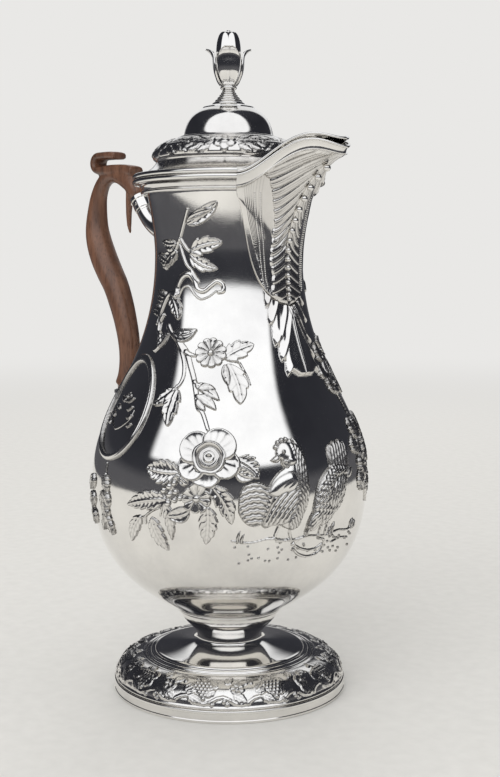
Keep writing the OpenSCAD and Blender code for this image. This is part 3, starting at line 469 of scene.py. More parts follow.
def leaf(length, width, bow=0.0, lobes=0, veins=6, cup=0.5, lift=0.7, point=0.8, rib=0.3):
    """A leaf along x: a rolled edge, a midrib and slanted veins."""
    peak = 0.55 / (0.55 + point)
    fullest = peak ** 0.55 * (1 - peak) ** point
    pitch = length / (veins + 1.0)

    def shape(x, y):
        t = np.clip(x / length, 0, 1)
        d = y - bow * 4 * t * (1 - t)
        w = width / 2 * (t ** 0.55 * (1 - t) ** point) / fullest
        if lobes:
            w = w * (1 - 0.28 * (((1 - t) * lobes) % 1) ** 1.5)
        ad = np.abs(d)
        out = np.where(x < 0, np.hypot(x, d), np.where(x > length, np.hypot(x - length, d), ad - w))
        n = np.clip(ad / np.maximum(w, 0.3), 0, 1)
        q = (x - 0.9 * ad) / pitch
        line = bump((q - np.round(q)) * pitch, 0.3) * soft(n * 5) * soft((1 - n) * 4)
        high = lift + cup * n ** 2.5 + rib * bump(d, 0.45) - 0.15 * line + 0.25 * np.sin(3 * t)
        dark = np.maximum(crease(out + 0.1), 0.3 * line) + 0.3 * bump(ad - 0.7, 0.25) * (out < 0)
        return edged(high, np.clip(dark, 0, 1), out)
    return shape


def lobe(rx, ry, lift=1.0, cup=0.7, ribs=0):
    """A round petal with a rolled edge."""
    def shape(x, y):
        q = np.hypot(x / rx, y / ry)
        out = (q - 1) * min(rx, ry)
        n = np.clip(q, 0, 1)
        high = lift + cup * n ** 3
        dark = crease(out + 0.1)
        if ribs:
            k = np.arctan2(y, x + rx) * ribs
            line = bump(k - np.round(k), 0.16) * soft(1.6 - 1.7 * n)
            high, dark = high - 0.12 * line, np.maximum(dark, 0.25 * line)
        return edged(high, dark, out)
    return shape


def blossom(radius, petals, lift=0.8, cup=0.5, heart=0.24, turn=0.3, notch=0.16):
    """A daisy: petals with grooves between them and two engraved lines on each."""
    def shape(x, y):
        r = np.hypot(x, y)
        q = (np.arctan2(y, x) + turn) * petals / (2 * math.pi)
        m = np.abs(q - np.round(q))
        edge = radius * (1 - notch + notch * np.sqrt(np.clip(np.cos(math.pi * m), 0, 1)))
        out = r - edge
        across = (2 * math.pi / petals) * r
        gap = bump((0.5 - m) * across, 0.32) * (r > heart * radius)
        line = bump((m - 0.2) * across, 0.2) * soft((r / radius - heart) * 6) * soft((0.85 - r / radius) * 6)
        core = np.sqrt(np.clip(1 - (r / (heart * radius)) ** 2, 0, 1))
        ring = bump(r - heart * radius, 0.3)
        high = lift + cup * np.clip(r / edge, 0, 1) ** 2 - 0.5 * gap - 0.22 * line + 0.9 * core - 0.35 * ring
        return edged(high, np.maximum.reduce([crease(out + 0.1), 0.7 * gap, 0.4 * line, 0.8 * ring]), out)
    return shape


def rosette(radius, lift):
    """The full heart of the rose: rings of small petals round a hollow."""
    def shape(x, y):
        r = np.hypot(x, y)
        a = np.arctan2(y, x)
        wave = 0.35 * np.sin(5 * a + 0.6) + 0.2 * np.sin(8 * a)
        out = r - radius - 0.5 * wave
        high, dark = lift + 0.5 * soft(1 - np.abs(r - radius) / 2.0), crease(out + 0.15)
        for at, deep, wide in ((0.70, 0.9, 0.55), (0.50, 0.35, 0.3), (0.36, 0.5, 0.3)):
            line = bump(r - at * radius - 0.15 * wave, wide)
            high, dark = high - deep * line, np.maximum(dark, 0.85 * line * min(1, deep))
        hole = soft(1 - r / (0.28 * radius))
        high = high + 0.25 * soft(1.3 - r / (0.55 * radius)) - 0.6 * hole
        return edged(high, np.maximum(dark, 0.5 * hole), out, 0.4)
    return shape


def near_line(q, x, y):
    """Distance to a run of points, and how far along it the nearest place is (0 to 1)."""
    best, where = np.full(x.shape, 1e9), np.zeros(x.shape)
    for k in range(len(q) - 1):
        a, e = q[k], q[k + 1] - q[k]
        f = np.clip(((x - a[0]) * e[0] + (y - a[1]) * e[1]) / max(e @ e, 1e-9), 0, 1)
        d = np.hypot(x - a[0] - f * e[0], y - a[1] - f * e[1])
        where = np.where(d < best, (k + f) / (len(q) - 1), where)
        best = np.minimum(best, d)
    return best, where


def cord(q, width, high, taper):
    """A round stem along points in mm."""
    def shape(x, y):
        d, f = near_line(q, x, y)
        w = width / 2 * (1 - taper * f)
        rise = np.sqrt(np.clip(1 - (d / (w + 0.25)) ** 2, 0.05, 1))
        return high * rise, crease(d - w - 0.05, 0.22) * 0.7, soft(0.5 - (d - w - 0.1) / 0.45)
    return shape


def blob(q, look, lift, swell, roll):
    """A pillow over a closed outline, with marks cut into it: look(x, y, depth) gives groove depths."""
    ring = through(q, 5, closed=True)
    ring = np.vstack([ring, ring[:1]])

    def shape(x, y):
        d = near_line(ring, x, y)[0]
        inside = np.zeros(x.shape, bool)
        for a, b in zip(ring, ring[1:]):
            rise = b[1] - a[1] if b[1] != a[1] else 1e-9
            inside ^= ((a[1] > y) != (b[1] > y)) & (x < (b[0] - a[0]) * (y - a[1]) / rise + a[0])
        out = np.where(inside, -d, d)
        high = lift + swell * np.sqrt(np.clip(1 - (1 - np.clip(d / roll, 0, 1)) ** 2, 0, 1)) * inside
        dark = crease(out + 0.1)
        if look:
            cut = look(x, y, d) * inside
            high, dark = high - cut, np.maximum(dark, np.clip(cut * 1.5, 0, 0.85))
        return edged(high, dark, out)
    return shape


def stripes(turn, pitch, deep, bend=0.0, wide=0.3, wobble=0.0, clear=0.5):
    """Parallel cut lines across a turned, bowed direction."""
    def look(x, y, d):
        a, b = spun(x, y, turn)
        q = (b + bend * a * a + wobble * np.sin(a * 2.1 + b)) / pitch
        return deep * bump((q - np.round(q)) * pitch, wide) * soft((d - clear) * 2)
    return look


def scales(pitch, deep):
    """Rows of small overlapping feathers."""
    def look(x, y, d):
        row = np.floor(y / (pitch * 0.8))
        u = x / pitch + 0.5 * (row % 2)
        u = u - np.round(u)
        edge = np.abs(np.hypot(u * 1.3, (y / (pitch * 0.8) - row) * 0.9) - 0.62) * pitch
        return deep * bump(edge, 0.24) + 0.3 * deep * bump(u * pitch, 0.18)
    return look


# ---- outline of the pot, as in the solids
belly_r, belly_z, neck_r, neck_z, mouth_r, mouth_z = 65.2, 99, 34.6, 207.5, 38.0, 240.6
foot_r, band_h, border_r, border_z = 55.5, 5.8, 40.0, 16.6
waist_r, waist_z, seat_z, seat_r = 15.6, 24.4, 39.4, 26.4
rim_r, wire_r, collar_z, rim_z, lid_z, sheet, seam = 45.0, 1.15, 234.2, 240.85, 241.0, 1.0, 0.04
spout_angle, reach, tip_z, spout_wall = 41.5, 70.5, 252.3, 1.4
moulding_r, throat_z, panel_z = 40.3, 208.0, 183.5
dome_r, dome_h, band_r, dome_top, bud_z, finial_top = 20.8, 13.6, 36.0, 274.2, 284.524, 309.8
flange_r, cover_r = rim_r - 2 * wire_r - seam, band_r + 2.4

body_line = np.vstack([curve([[seat_r, seat_z], [38.9, 47.7], [belly_r, 59], [belly_r, belly_z]], 161),
                       curve([[belly_r, belly_z], [belly_r, 138.8], [neck_r, 152.1], [neck_r, neck_z]], 161)[1:],
                       curve([[neck_r, neck_z], [neck_r, 213.5], [36.4, 227.2], [mouth_r, collar_z]], 161)[1:]])
body_run = run_of(body_line)


def body_r(z):
    """Radius of the body's wall at a height."""
    return read(body_line, z, of=1, value=0)


def run_at(z):
    """Distance along the body's outline at a height."""
    return float(np.interp(z, body_line[:, 1], body_run))


def points_at(line, run, s):
    """Points of a line at distances along it."""
    return np.stack([np.interp(s, run, line[:, 0]), np.interp(s, run, line[:, 1])], 1)


# half the width of the way into the spout, and how high the wall stands there
throat = np.array([[0, 209.6], [1.8, 210], [4.9, 211.9], [7.9, 214.3], [10.8, 217.2], [13.7, 220.5], [16.6, 224.1],
                   [19.6, 228], [22.9, 232.2], [23.4, 239]])


def make_body():
    """The raised body: an outer and an inner wall, pressed down in front for the way into the spout."""
    pressed_z, fine_z = 190.0, 196
    az = np.arange(360.0)
    s = np.concatenate([np.linspace(0, run_at(fine_z), 104), np.linspace(run_at(fine_z), body_run[-1], 34)[1:]])
    outer = np.vstack([points_at(body_line, body_run, s), [[mouth_r, mouth_z - 3], [mouth_r, mouth_z]]])
    keep = np.r_[np.arange(0, len(outer) - 2, 3), len(outer) - 2, len(outer) - 1]
    inner = offset_line(outer, sheet)[keep]
    inner = inner[inner[:, 1] > seat_z + sheet + 0.2]
    inner[-2:] = [[mouth_r - sheet, mouth_z - 3], [mouth_r - sheet, mouth_z]]
    section = np.vstack([outer, inner[::-1]])
    x, y, z = np.moveaxis(turn_line(section, az), -1, 0)
    side = mouth_r * np.sin(np.minimum(np.abs((az + 180) % 360 - 180), 60) * DEG)
    top = np.where(side > throat[-1, 0], mouth_z, read(throat, side))
    pressed = z > pressed_z
    new_z = np.where(pressed, pressed_z + (z - pressed_z) * (top - pressed_z) / (mouth_z - pressed_z), z)
    wall = np.where(np.arange(len(section)) < len(outer), 0, sheet)[:, None]
    r = np.where(new_z > collar_z, mouth_r, body_r(new_z)) - wall
    scale = np.where(pressed, r / np.hypot(x, y), 1.0)
    return sweep("body_raised", np.stack([x * scale, y * scale, new_z], -1), polished_silver, 40,
                 middles=[[0, 0, seat_z], [0, 0, seat_z + sheet]])


settle(make_body(), "pot", "silver", "body_shell")


def wires_and_collar():
    """Mouldings drawn through a swage and soldered round the mouth, and the lid's own wire and bezel."""
    bore, bezel_r = mouth_r + seam, mouth_r - sheet - 0.5
    low, high = collar_z + 1.64, rim_z - 2 * wire_r - seam
    body_wire, lid_wire = rim_z - wire_r, lid_z + wire_r
    hollow = curve([[moulding_r - 0.1, low + 0.2], [moulding_r + 0.4, high - 0.6], [rim_r - 2.2, high - 0.3]], 13)
    for name, body, slot, node, gap, section in (
            ("collar_bead_wire", "pot", "silver", "collar_wire", spout_angle,
             [[[bore, collar_z - 0.1], [mouth_r + 0.4, collar_z - 0.1]],
              arc(moulding_r, collar_z + 0.75, 0.85, -120, 90, 16), [[bore, collar_z + 1.6]]]),
            ("collar_cavetto", "pot", "silver_chased", "collar_band", spout_angle,
             [[[bore, low], [moulding_r - 0.2, low]], hollow, [[rim_r - 1.4, high], [bore, high]]]),
            ("rim_wire_body", "pot", "silver", "rim_wire", spout_angle,
             [[[bore, body_wire - wire_r]], arc(rim_r - wire_r, body_wire, wire_r, -90, 90, 18),
              [[bore, body_wire + wire_r]]]),
            ("rim_wire_lid", "lid", "silver", "lid_rim_wire", spout_angle,
             [[[flange_r + seam, lid_wire - wire_r + 0.3]], arc(rim_r - wire_r, lid_wire, wire_r, -90, 90, 18),
              [[flange_r + seam, lid_wire + wire_r - 0.3]]]),
            ("bezel_ring", "lid", "silver", "lid_bezel", spout_angle + 4,
             [[bezel_r - 1.2, lid_z - 5], [bezel_r - 0.4, lid_z - 5], [bezel_r, lid_z - 4], [bezel_r, lid_z - seam],
              [bezel_r - 1.2, lid_z - seam]])):
        settle(lathe(name, section, polished_silver, gap=gap), body, slot, node)


wires_and_collar()


# ---- flowers on the body
def flower_spray():
    """The spray beside the oval shield: a rose low on the belly, a daisy above, leaves and stems."""
    c = Chasing(body_line, -100, -29, run_at(74), run_at(180), 0.40)
    for width, *points in (
            (2.6, -90, 174, -86.8, 171.7, -79.5, 167.4, -73, 159.8, -71, 153, -73, 148.2, -77, 146.8),
            (3.2, -79, 167.6, -72, 163, -68, 157.3, -64.8, 152, -62.4, 146, -60.5, 140, -57.8, 137.4, -55,
             131), (2.2, -72, 163, -67, 161.8, -61, 161.7), (1.4, -73.5, 148.6, -73, 143, -73.4, 138),
            (1.6, -63.8, 150.5, -58, 147.5, -54, 145.6), (1.4, -61.6, 144.6, -57, 142, -54, 140.4),
            (1.8, -50, 161.4, -45, 160.4, -40, 158.6), (1.1, -40, 158.6, -36.6, 153.4, -35, 149.4),
            (1.6, -66, 112, -69, 104, -72, 98, -73, 94), (1.4, -58, 110, -64, 104, -70, 101),
            (1.2, -74, 99, -80, 93, -85, 92), (1.1, -80, 90, -79, 94, -72, 98)):
        c.stem(points, width)
    c.leaves([
        (-74, 147.6, -84, 140.2, 6.6, 1, 3, 3), (-72.4, 147, -73.6, 131.6, 7.6, -1, 3, 4),
        (-63, 149.6, -50.8, 143, 4.6, 1, 0, 1), (-61.4, 145, -52, 139, 4.2, 0.8, 0, 1),
        (-61, 147.6, -52.6, 147.6, 3.4, 0.8, 0, 1), (-61.4, 143, -57, 138.6, 3, 0, 0, 1),
        (-84, 171, -66.6, 173, 6.4, -1.6, 0, 2), (-48.8, 160.6, -30.2, 166.8, 9.6, 0.8, 3, 3),
        (-46.8, 158.4, -40.6, 141.4, 9.4, 1.6, 3, 3), (-48.5, 158, -46, 149, 3.2, -0.4, 0, 3),
        (-66, 113, -80, 114.3, 11.5, 0.8, 5, 7, 1), (-43.5, 119, -34.8, 110.8, 9.5, 1.5, 4, 6, 0.8),
        (-43.5, 115, -36, 111.5, 6, -1.2, 0, 4, 0.8), (-70, 101.5, -89, 97, 9, -0.8, 6, 9, 0.35, 0.5),
        (-82, 93, -88.5, 80.5, 6.5, -1, 4, 5, 0.3, 0.5), (-77, 93, -70.5, 78.5, 7, -1, 4),
        (-71, 100, -68.5, 83.5, 5, 0.9, 5), (-61, 97, -70, 94.5, 7, 1, 0, 3, 0.9),
        (-54, 99, -55, 82.5, 8.5, 0.6, 5, 6, 0.8), (-52.5, 108, -45, 91.5, 8.5, 1.6, 4, 7, 0.8),
        (-62, 108, -66, 112, 4, 0, 0, 2)])
    # berries
    for az, z, r in ((-71.5, 105.2, 1.5), (-69.3, 107, 1.5), (-67.2, 108.4, 1.3), (-69, 103.6, 1.5),
                     (-66.6, 104.8, 1.4), (-67, 101.2, 1.3), (-69.6, 99.8, 1.4), (-64.8, 102.2, 1.2)):
        c.stamp(az, c.at(z), 3, lobe(r, r, 1.5, -0.9))
    # the rose: five outer petals, then its heart
    rose, s = -54.2, c.at(119.6)
    for turn, far, rx, ry in ((-98, 7.4, 5.6, 6.6), (-151, 8.2, 5.6, 6), (-21, 8, 5.8, 6.2), (144, 7.6, 6.2, 7.2),
                              (51, 7.8, 6.4, 7.4)):
        x, y = spun(far, 0, -turn * DEG)
        c.stamp(rose + x / (DEG * c.radius(s)), s + y, 12, lobe(rx, ry, 1.1, 0.8, ribs=3), turn * DEG, over=0.1)
    c.stamp(rose + 0.3, s, 11, rosette(7.0, 1.3), over=0.0)
    c.stamp(-58.3, c.at(102.4), 9, blossom(6.4, 9, lift=1.0), over=0.15)
    c.stamp(-56.7, c.at(163), 10, blossom(7.0, 11, lift=0.9, heart=0.2), over=0.15)
    return c


def oval_shield():
    """A raised frame for an oval shield, left plain but for a small sprig, with a drop of leaves under it."""
    c = Chasing(body_line, -127, -84, run_at(74), run_at(186), 0.40)
    top, foot = c.at(161), c.at(114)
    middle, s, rx, ry = -105.6, (top + foot) / 2, 18.6, (top - foot) / 2

    def frame(x, y):
        a = np.arctan2(y, x)
        out = (np.hypot(x / rx, y / ry) - 1) * min(rx, ry) * (1 + 0.18 * np.abs(np.sin(a)))
        half = 1.5 + 0.5 * np.cos(a - 0.5)
        d = np.abs(out + 1.5)
        high = 1.5 * np.sqrt(np.clip(1 - (d / (half + 0.2)) ** 2, 0.03, 1)) - 0.2 * bump(out + 1.0, 0.25)
        return high, crease(d - half), soft(0.5 - (d - half) / 0.5)
    c.stamp(middle, s, ry + 3, frame)
    c.stamp(middle, s + 4.6, 4, blossom(2.6, 6, lift=0.45, cup=0.2, turn=0.5))
    for side in (-1, 1):
        for k in range(4):
            c.leaf((middle + side * (1.5 + 2.2 * k), 140 - 3.4 * k),
                   (middle + side * (6.6 + 1.6 * k), 142.2 - 3.6 * k), 2.2, lift=0.4, cup=0.2, veins=2)
        c.stem([(middle + side * x, z) for x, z in ((0, 128), (4, 129.5), (8.5, 133), (9.5, 137))], 0.7, 0.45)
    # a scroll above and the drop of leaves below
    c.stem([-97, 163.5, -94, 166, -96, 170, -99, 172, -99.5, 176, -97, 179], 2.4, 1.2, 0.3)
    full = (3, 6, 0.8, 1)
    c.leaves([(-95, 165, -88, 171, 5, 1, 0, 4)] + [row + (0, *full) for row in (
        (-105, 108, -103, 100, 4.6), (-105, 101, -107.5, 93.5, 4.2), (-105, 101, -101.5, 94, 4.2),
        (-105, 96, -104, 86, 4.6), (-104.5, 90, -108, 82, 3.6), (-104, 90, -100.5, 81, 3.6))])
    c.stem([-105, 113, -105, 104, -104.5, 90], 1.2)
    c.leaves([(-119 - k, 106 - 8 * k, -122.5 + k, 98 - 8 * k, 4.5, 0.8, *full) for k in range(3)])
    return c


def birds():
    """A cock and a hen in the grass, under the spout."""
    c = Chasing(body_line, -46, 19, run_at(71), run_at(134), 0.40)
    c.leaves([(-19.3, 127, -15.2, 113.2, 2.6, 0.9, 0, 3)])
    # the lines of the ground, with stones and blades of grass
    for width, *points in (
            (0.9, -45, 84, -38, 83, -30, 84.5, -22, 83, -14, 84, -5, 83),
            (1, -20.5, 81.2, -16.5, 78.6, -12, 77.3, -8, 77.8, -5.6, 79.2),
            (1.1, -20, 79, -17, 76, -12, 74.2, -7, 75.2, -4.6, 78, -5, 81, -8.5, 82.2),
            (1.5, -20.5, 81, -18.5, 82.8, -16, 84), (1.3, -31.5, 84.7, -28, 84.4), (1.3, -27.3, 83.3, -24, 83),
            (1.3, -23.6, 83.5, -20.8, 83.3), (0.9, -4, 83, 3, 84, 10, 83, 17, 84), (0.8, 0, 79, 6, 80, 12, 79)):
        c.stem(points, width, 0.7, 0.2)
    grass = np.random.default_rng(3)
    for az, z in zip(grass.uniform(-44, 17, 46), grass.uniform(73, 82.5, 46)):
        c.stamp(az, c.at(z), 2, lobe(0.62, 0.62, 0.7, -0.4))
    for az in (-43, -41.5, -3, -1.2, 13, 15):
        c.leaf((az, 82.5), (az + 1.2, 86.6 + (az % 3)), 1.1, bow=0.4, veins=0, lift=0.4)
    # the cock: legs, curled tail, body with its wing, hackle, head with its comb and beak
    c.stem([-26.5, 91, -27.6, 88, -28.4, 85], 1.3, 0.9, 0.1)
    c.stem([-22, 90, -22.3, 87, -21.6, 84], 1.2, 0.9, 0.1)
    c.patch([-42.5, 101.4, -41.7, 105.6, -39.8, 108.3, -36, 109.3, -32.1, 108, -29.9, 106, -30.3, 102, -31.1,
             97, -32.7, 92.3, -36, 90.2, -39.8, 91.6, -42.5, 96.3],
            stripes(0.0, 2.3, 0.75, 0.05, 0.42, 0.22, 0.15), 0.6, 1.2, 3)
    c.patch([-24, 115, -27, 112.8, -30, 109, -31.3, 104.5, -32.3, 98.5, -34, 92, -32.2, 89.4, -28, 91.5, -24.5,
             89, -21, 88.4, -18.8, 91.5, -17.2, 97, -16, 103, -16.2, 108, -17.6, 113, -19.2, 117, -21.5, 118.6,
             -23.4, 117.4], None, 0.9, 1.3, 6)
    c.patch([-33.6, 91, -31.4, 97.6, -29.4, 103, -26, 107, -22, 109.5, -19, 106.5, -18, 101, -20, 96, -24, 91.8,
             -29, 90.4], stripes(0.88, 1.9, 0.65, 0.014, 0.4, 0.1), 1.0, 1.0, 5)
    c.patch([-31, 104.6, -29.4, 108.6, -26, 111.6, -21.6, 112.6, -19.4, 109, -21, 105.4, -25, 104.4, -28.4,
             103], None, 1.1, 1.0, 4)
    c.patch([-21.2, 125.3, -18.5, 123.6, -16.5, 119.9, -15.2, 114.3, -14.5, 108.8, -14.5, 103.8, -15.5, 98.3,
             -17.4, 93.5, -19.1, 89.4, -22.1, 88.2, -23.5, 91.6, -21.2, 96.4, -20.2, 102, -19.6, 107.4, -19.6,
             112.9, -19.6, 117.7, -20.2, 121.3],
            stripes(-1.52, 1.35, 0.6, -0.009, 0.34, 0.18, 0.25), 1.5, 0.9, 2.4)
    c.patch([-27.1, 119.6, -27.2, 122, -25.6, 124.6, -22.6, 125.4, -20.2, 124, -19.4, 121, -19.4, 117, -21.8,
             115.6, -24.6, 117.2], None, 1.3, 1.0, 3.5)
    for az, z in ((-27.2, 123.4), (-26, 125.2), (-24.2, 126.2), (-22.3, 126.4), (-20.7, 125.6)):
        c.stamp(az, c.at(z), 3, lobe(1.0, 1.1, 1.5, -0.6))
    c.leaves([(-26.4, 119.8, -29.8, 117.9, 1.9, 0.4, 0, 0, 0.5, 1.2),
              (-25.9, 118.6, -28.6, 117.2, 1.4, 0.2, 0, 0, 0.5, 1)])
    c.patch([-25.4, 117.8, -24.8, 115.4, -23.3, 114.6, -22.4, 116.2, -23, 118], scales(1.1, 0.4), 1.3, 0.7, 1.2)
    c.stamp(-24.6, c.at(121.2), 2, lobe(0.7, 0.7, 2.3, -0.7))
    # the hen, her head down to the grass: legs, raised tail, body with its wing, head
    c.stem([-6, 93, -7.4, 88, -8.2, 84], 1.2, 0.9, 0.1)
    c.stem([-3, 94, -4, 88, -4.8, 84], 1.2, 0.9, 0.1)
    c.patch([-1.9, 111, -2.2, 117, -1.3, 122.1, 0.4, 122.4, 2.1, 123.8, 4, 123, 5.8, 124.2, 7.6, 122.6, 9,
             122.6, 9.8, 119, 9.6, 115, 7, 110, 1.2, 109],
            stripes(1.5, 1.9, 0.7, 0.004, 0.42, 0.05, 0.2), 0.9, 1.0, 2)
    c.leaves([(7.6, 112, 10.8, 121, 2.4, 0, 0, 0), (8.4, 107, 11.8, 111.4, 2.6, 0, 0, 0)])
    c.patch([-2.9, 113, -7.4, 109.2, -9.6, 105.6, -10.8, 101.2, -12.1, 94.8, -11, 90.6, -8, 88.2, -4.6, 89.6,
             -1, 92.6, 3, 96.3, 5.9, 102.9, 7.2, 108, 7, 112, 2, 113.6],
            stripes(0.95, 1.7, 0.55, 0.0, 0.34, 0.35, 0.3), 0.9, 1.5, 6)
    c.patch([-0.5, 108, -3.6, 104.6, -5.4, 99.6, -4, 95.6, -0.4, 96.6, 3.4, 101, 5.6, 107, 3.2, 109.8],
            stripes(1.25, 1.5, 0.6, 0.02, 0.34, 0.1, 0.2), 1.1, 1.0, 2.5)
    c.patch([-10, 95, -12.2, 94, -13.9, 90.8, -14.6, 87.8, -13, 86.2, -10.8, 87, -8.4, 90.4],
            stripes(0.7, 1.4, 0.35, 0.0, 0.3), 1.0, 1.0, 2.4)
    c.leaves([(-14, 88, -15, 84, 1.4, 0, 0, 0, 0.5, 1)])
    c.stamp(-13.4, c.at(88.6), 2, lobe(0.55, 0.55, 2.0, -0.6))
    return c


def neck_spray():
    """Bud, leaves and the crest of a scrolled border high on the body."""
    c = Chasing(body_line, -124, -46, run_at(172), run_at(232), 0.36)
    c.stem([-76, 226, -80, 220, -85, 213, -92, 206, -100, 200], 1.5, 0.8, 0.2)
    c.stem([-84, 213, -79, 209, -74, 207], 1.6, 0.8, 0.2)
    c.stem([-86, 212, -80, 203, -74, 199, -68, 194], 1.4, 0.8, 0.2)
    c.leaf((-77, 219.5), (-54, 229), 6.4, bow=-0.9, veins=4, cup=0.9, point=0.6)
    c.leaves([
        (-76, 222, -57, 226, 3.2, 0.6, 0, 2), (-75, 207.6, -50.5, 211.5, 8.4, 0.8, 3, 5, 0.7),
        (-76, 206.4, -54, 199.6, 6.6, -1.4, 3, 5, 0.7), (-88, 208, -103, 200, 7, -1, 3, 5, 0.7),
        (-88, 211, -104, 212.5, 5, 1, 3, 4), (-97, 203, -112, 207, 5, 0.6, 3, 4),
        (-92, 188, -82, 177, 6.5, 1, 3, 5)])
    # the scrolled crest: a wavy ribbon with a curled end
    c.stem([-86, 188, -86.5, 192, -82, 196.3, -76, 197.4, -71.5, 194.6, -69, 191, -64, 190, -59, 192.4,
            -54.5, 194.2, -50.5, 192.8, -50, 190, -53, 189.4], 3.0, 1.3, 0.45)
    c.stem([-84.5, 188, -81, 191.6, -76, 192, -71, 188.4, -66, 186.4, -60, 187.6, -55, 190], 1.2, 0.7, 0.4)
    c.stem([-86, 188, -92, 189, -97, 186, -101, 180, -102, 175], 2.4, 1.2, 0.3)
    c.leaves([(-97, 187, -108, 190, 6, 1, 3), (-101, 180, -112, 181, 6, -1, 3)])
    return c


def side_garland():
    """Flowers and leaves that climb the far flank, beyond the hen."""
    c = Chasing(body_line, 14, 60, run_at(92), run_at(168), 0.42)
    c.stem([30, 92, 27, 104, 24, 116, 29, 128, 27, 140, 22, 150, 27, 160], 1.5, 0.9, 0.2)
    for k, (az, z, rise) in enumerate(((24, 100, 5), (22, 108, -5), (20, 116, 8), (27, 122, 10), (30, 130, -6),
                                       (22, 143, 9), (20, 150, 6), (25, 157, 9))):
        c.leaves([(az, z, az - 5 + 2 * (k % 3), z + rise, 5.4, 0.8, 3, 6, 0.8),
                  (az + 1, z, az + 6 - (k % 2), z + rise * 0.6, 4.2, -0.8, 3, 6, 0.8)])
    c.stamp(26, c.at(111), 9, blossom(5.6, 8, lift=1.2), over=0.15)
    c.stamp(25, c.at(147), 9, blossom(5.0, 7, lift=1.1), over=0.15)
    return c


for name, work, both_sides in (("rose_spray", flower_spray(), True), ("oval_shield", oval_shield(), True),
                               ("cock_and_hen", birds(), False), ("neck_spray", neck_spray(), True),
                               ("side_garland", side_garland(), False)):
    settle(work.piece(name), "pot", "silver_chased")
    if both_sides:
        settle(work.piece(name + "_far", mirror=-1), "pot", "silver_chased")


# ---- foot
def ring_chasing(line):
    """A ground to chase all round, a little past both ends of one turn."""
    return Chasing(line, -24, 384, 0, run_of(line)[-1], 0.38, 0.0)


def finish_ring(c, shade, low, pitch, deep, seed, matt):
    """Keeps one full turn, scales its shade and the height of its raised work, mats the ground between with a round
    punch (dots a pitch apart), darkens the low ground between the dots with painted shade and lets it all die away at
    both edges."""
    turn = (c.az >= 0) & (c.az < 360 - 1e-6)
    c.az = np.arange(turn.sum()) * 360 / turn.sum()
    c.h, c.dark = c.h[:, turn], c.dark[:, turn] * shade
    c.h *= np.where(c.h > 0, low, 1.0)
    u = c.az[None, :] * DEG * c.r[:, None] / pitch
    v = c.s[:, None] / pitch + 0 * u
    row = np.floor(v)
    u = u + 0.5 * (row % 2)
    jog = np.random.default_rng(seed).uniform(-0.22, 0.22, (int(row.max()) + 2, 997))
    d = np.hypot(u - np.floor(u) - 0.5 + jog[row.astype(int), np.floor(u).astype(int) % 997], v - row - 0.5)
    bare = soft(1 - np.maximum(c.h, 0) * 6)
    c.h += bare * deep * (soft(1 - d * 2.2) - 0.3)
    # painted shade in the low ground between the punch dots, as strong as matt
    c.dark = np.maximum(c.dark, matt * bare * soft(d * 2.4 - 0.3))
    c.h *= (soft(c.s / 1.6) * soft((c.s[-1] - c.s) / 1.6))[:, None]


def foot():
    """The stepped foot: a plain band with a rounded edge and a spun stem with two soldered wires."""
    in_r, top, groove = border_r - seam, seat_z - 2.6, foot_r - 0.25
    settle(lathe("foot_band", [[[foot_r - 2.4, 0], [foot_r - 0.3, 0], [foot_r, 0.3], [foot_r, 1.2], [groove, 1.5],
                                [groove, 4.2], [foot_r, 4.5]], arc(foot_r - 0.6, band_h - 0.6, 0.6, 0, 90, 6),
                               [[foot_r - 2.4, band_h]]], polished_silver, 480), "pot", "silver", "foot_rim")
    line = np.vstack([
        [[in_r, border_z - 1.3], [in_r, border_z - 0.1]], arc(in_r - 0.8, border_z - 0.15, 0.75, 0, 150, 7),
        [[in_r - 1.8, border_z + 0.5]], arc(in_r - 2.6, border_z + 0.6, 0.75, 10, 140, 6),
        curve([[in_r - 3.9, border_z + 1.2], [in_r - 3.9, border_z + 2.3], [in_r - 5, border_z + 2.4],
               [in_r - 6, border_z + 2.5]], 8),
        curve([[in_r - 6, border_z + 2.5], [waist_r + 8.5, border_z + 3.7], [waist_r, waist_z - 3.6],
               [waist_r, waist_z]], 28)[1:],
        curve([[waist_r, waist_z], [waist_r, waist_z + 4.4], [seat_r - 4.5, top - 5],
               [seat_r - 3.6, top - 2]], 20)[1:],
        [[seat_r - 3.4, top]]])
    inner = offset_line(line, 1.3)
    inner = inner[(inner[:, 1] < top - 0.6) & (inner[:, 0] < in_r - 1.7) & (inner[:, 1] > border_z - 0.6)]
    settle(lathe("foot_stem", [line, [[seat_r - 4.7, top]], inner[::-1], [[in_r - 1.7, border_z - 1.3]]],
                 polished_silver, 360, sharp=50), "pot", "silver", "foot_pedestal")
    for name, node, z, r, x in (("stem_wire_low", "stem_ring_lower", top + seam + 0.45, 0.45, seat_r - 3.1),
                                ("stem_wire_high", "stem_ring_upper", seat_z - 0.87 - seam / 2, 0.79, seat_r - 1.6)):
        settle(lathe(name, [[[seat_r - 5.4, z - r]], arc(x, z, r, -90, 90, 14), [[seat_r - 5.4, z + r]]],
                     polished_silver, 300), "pot", "silver", node)


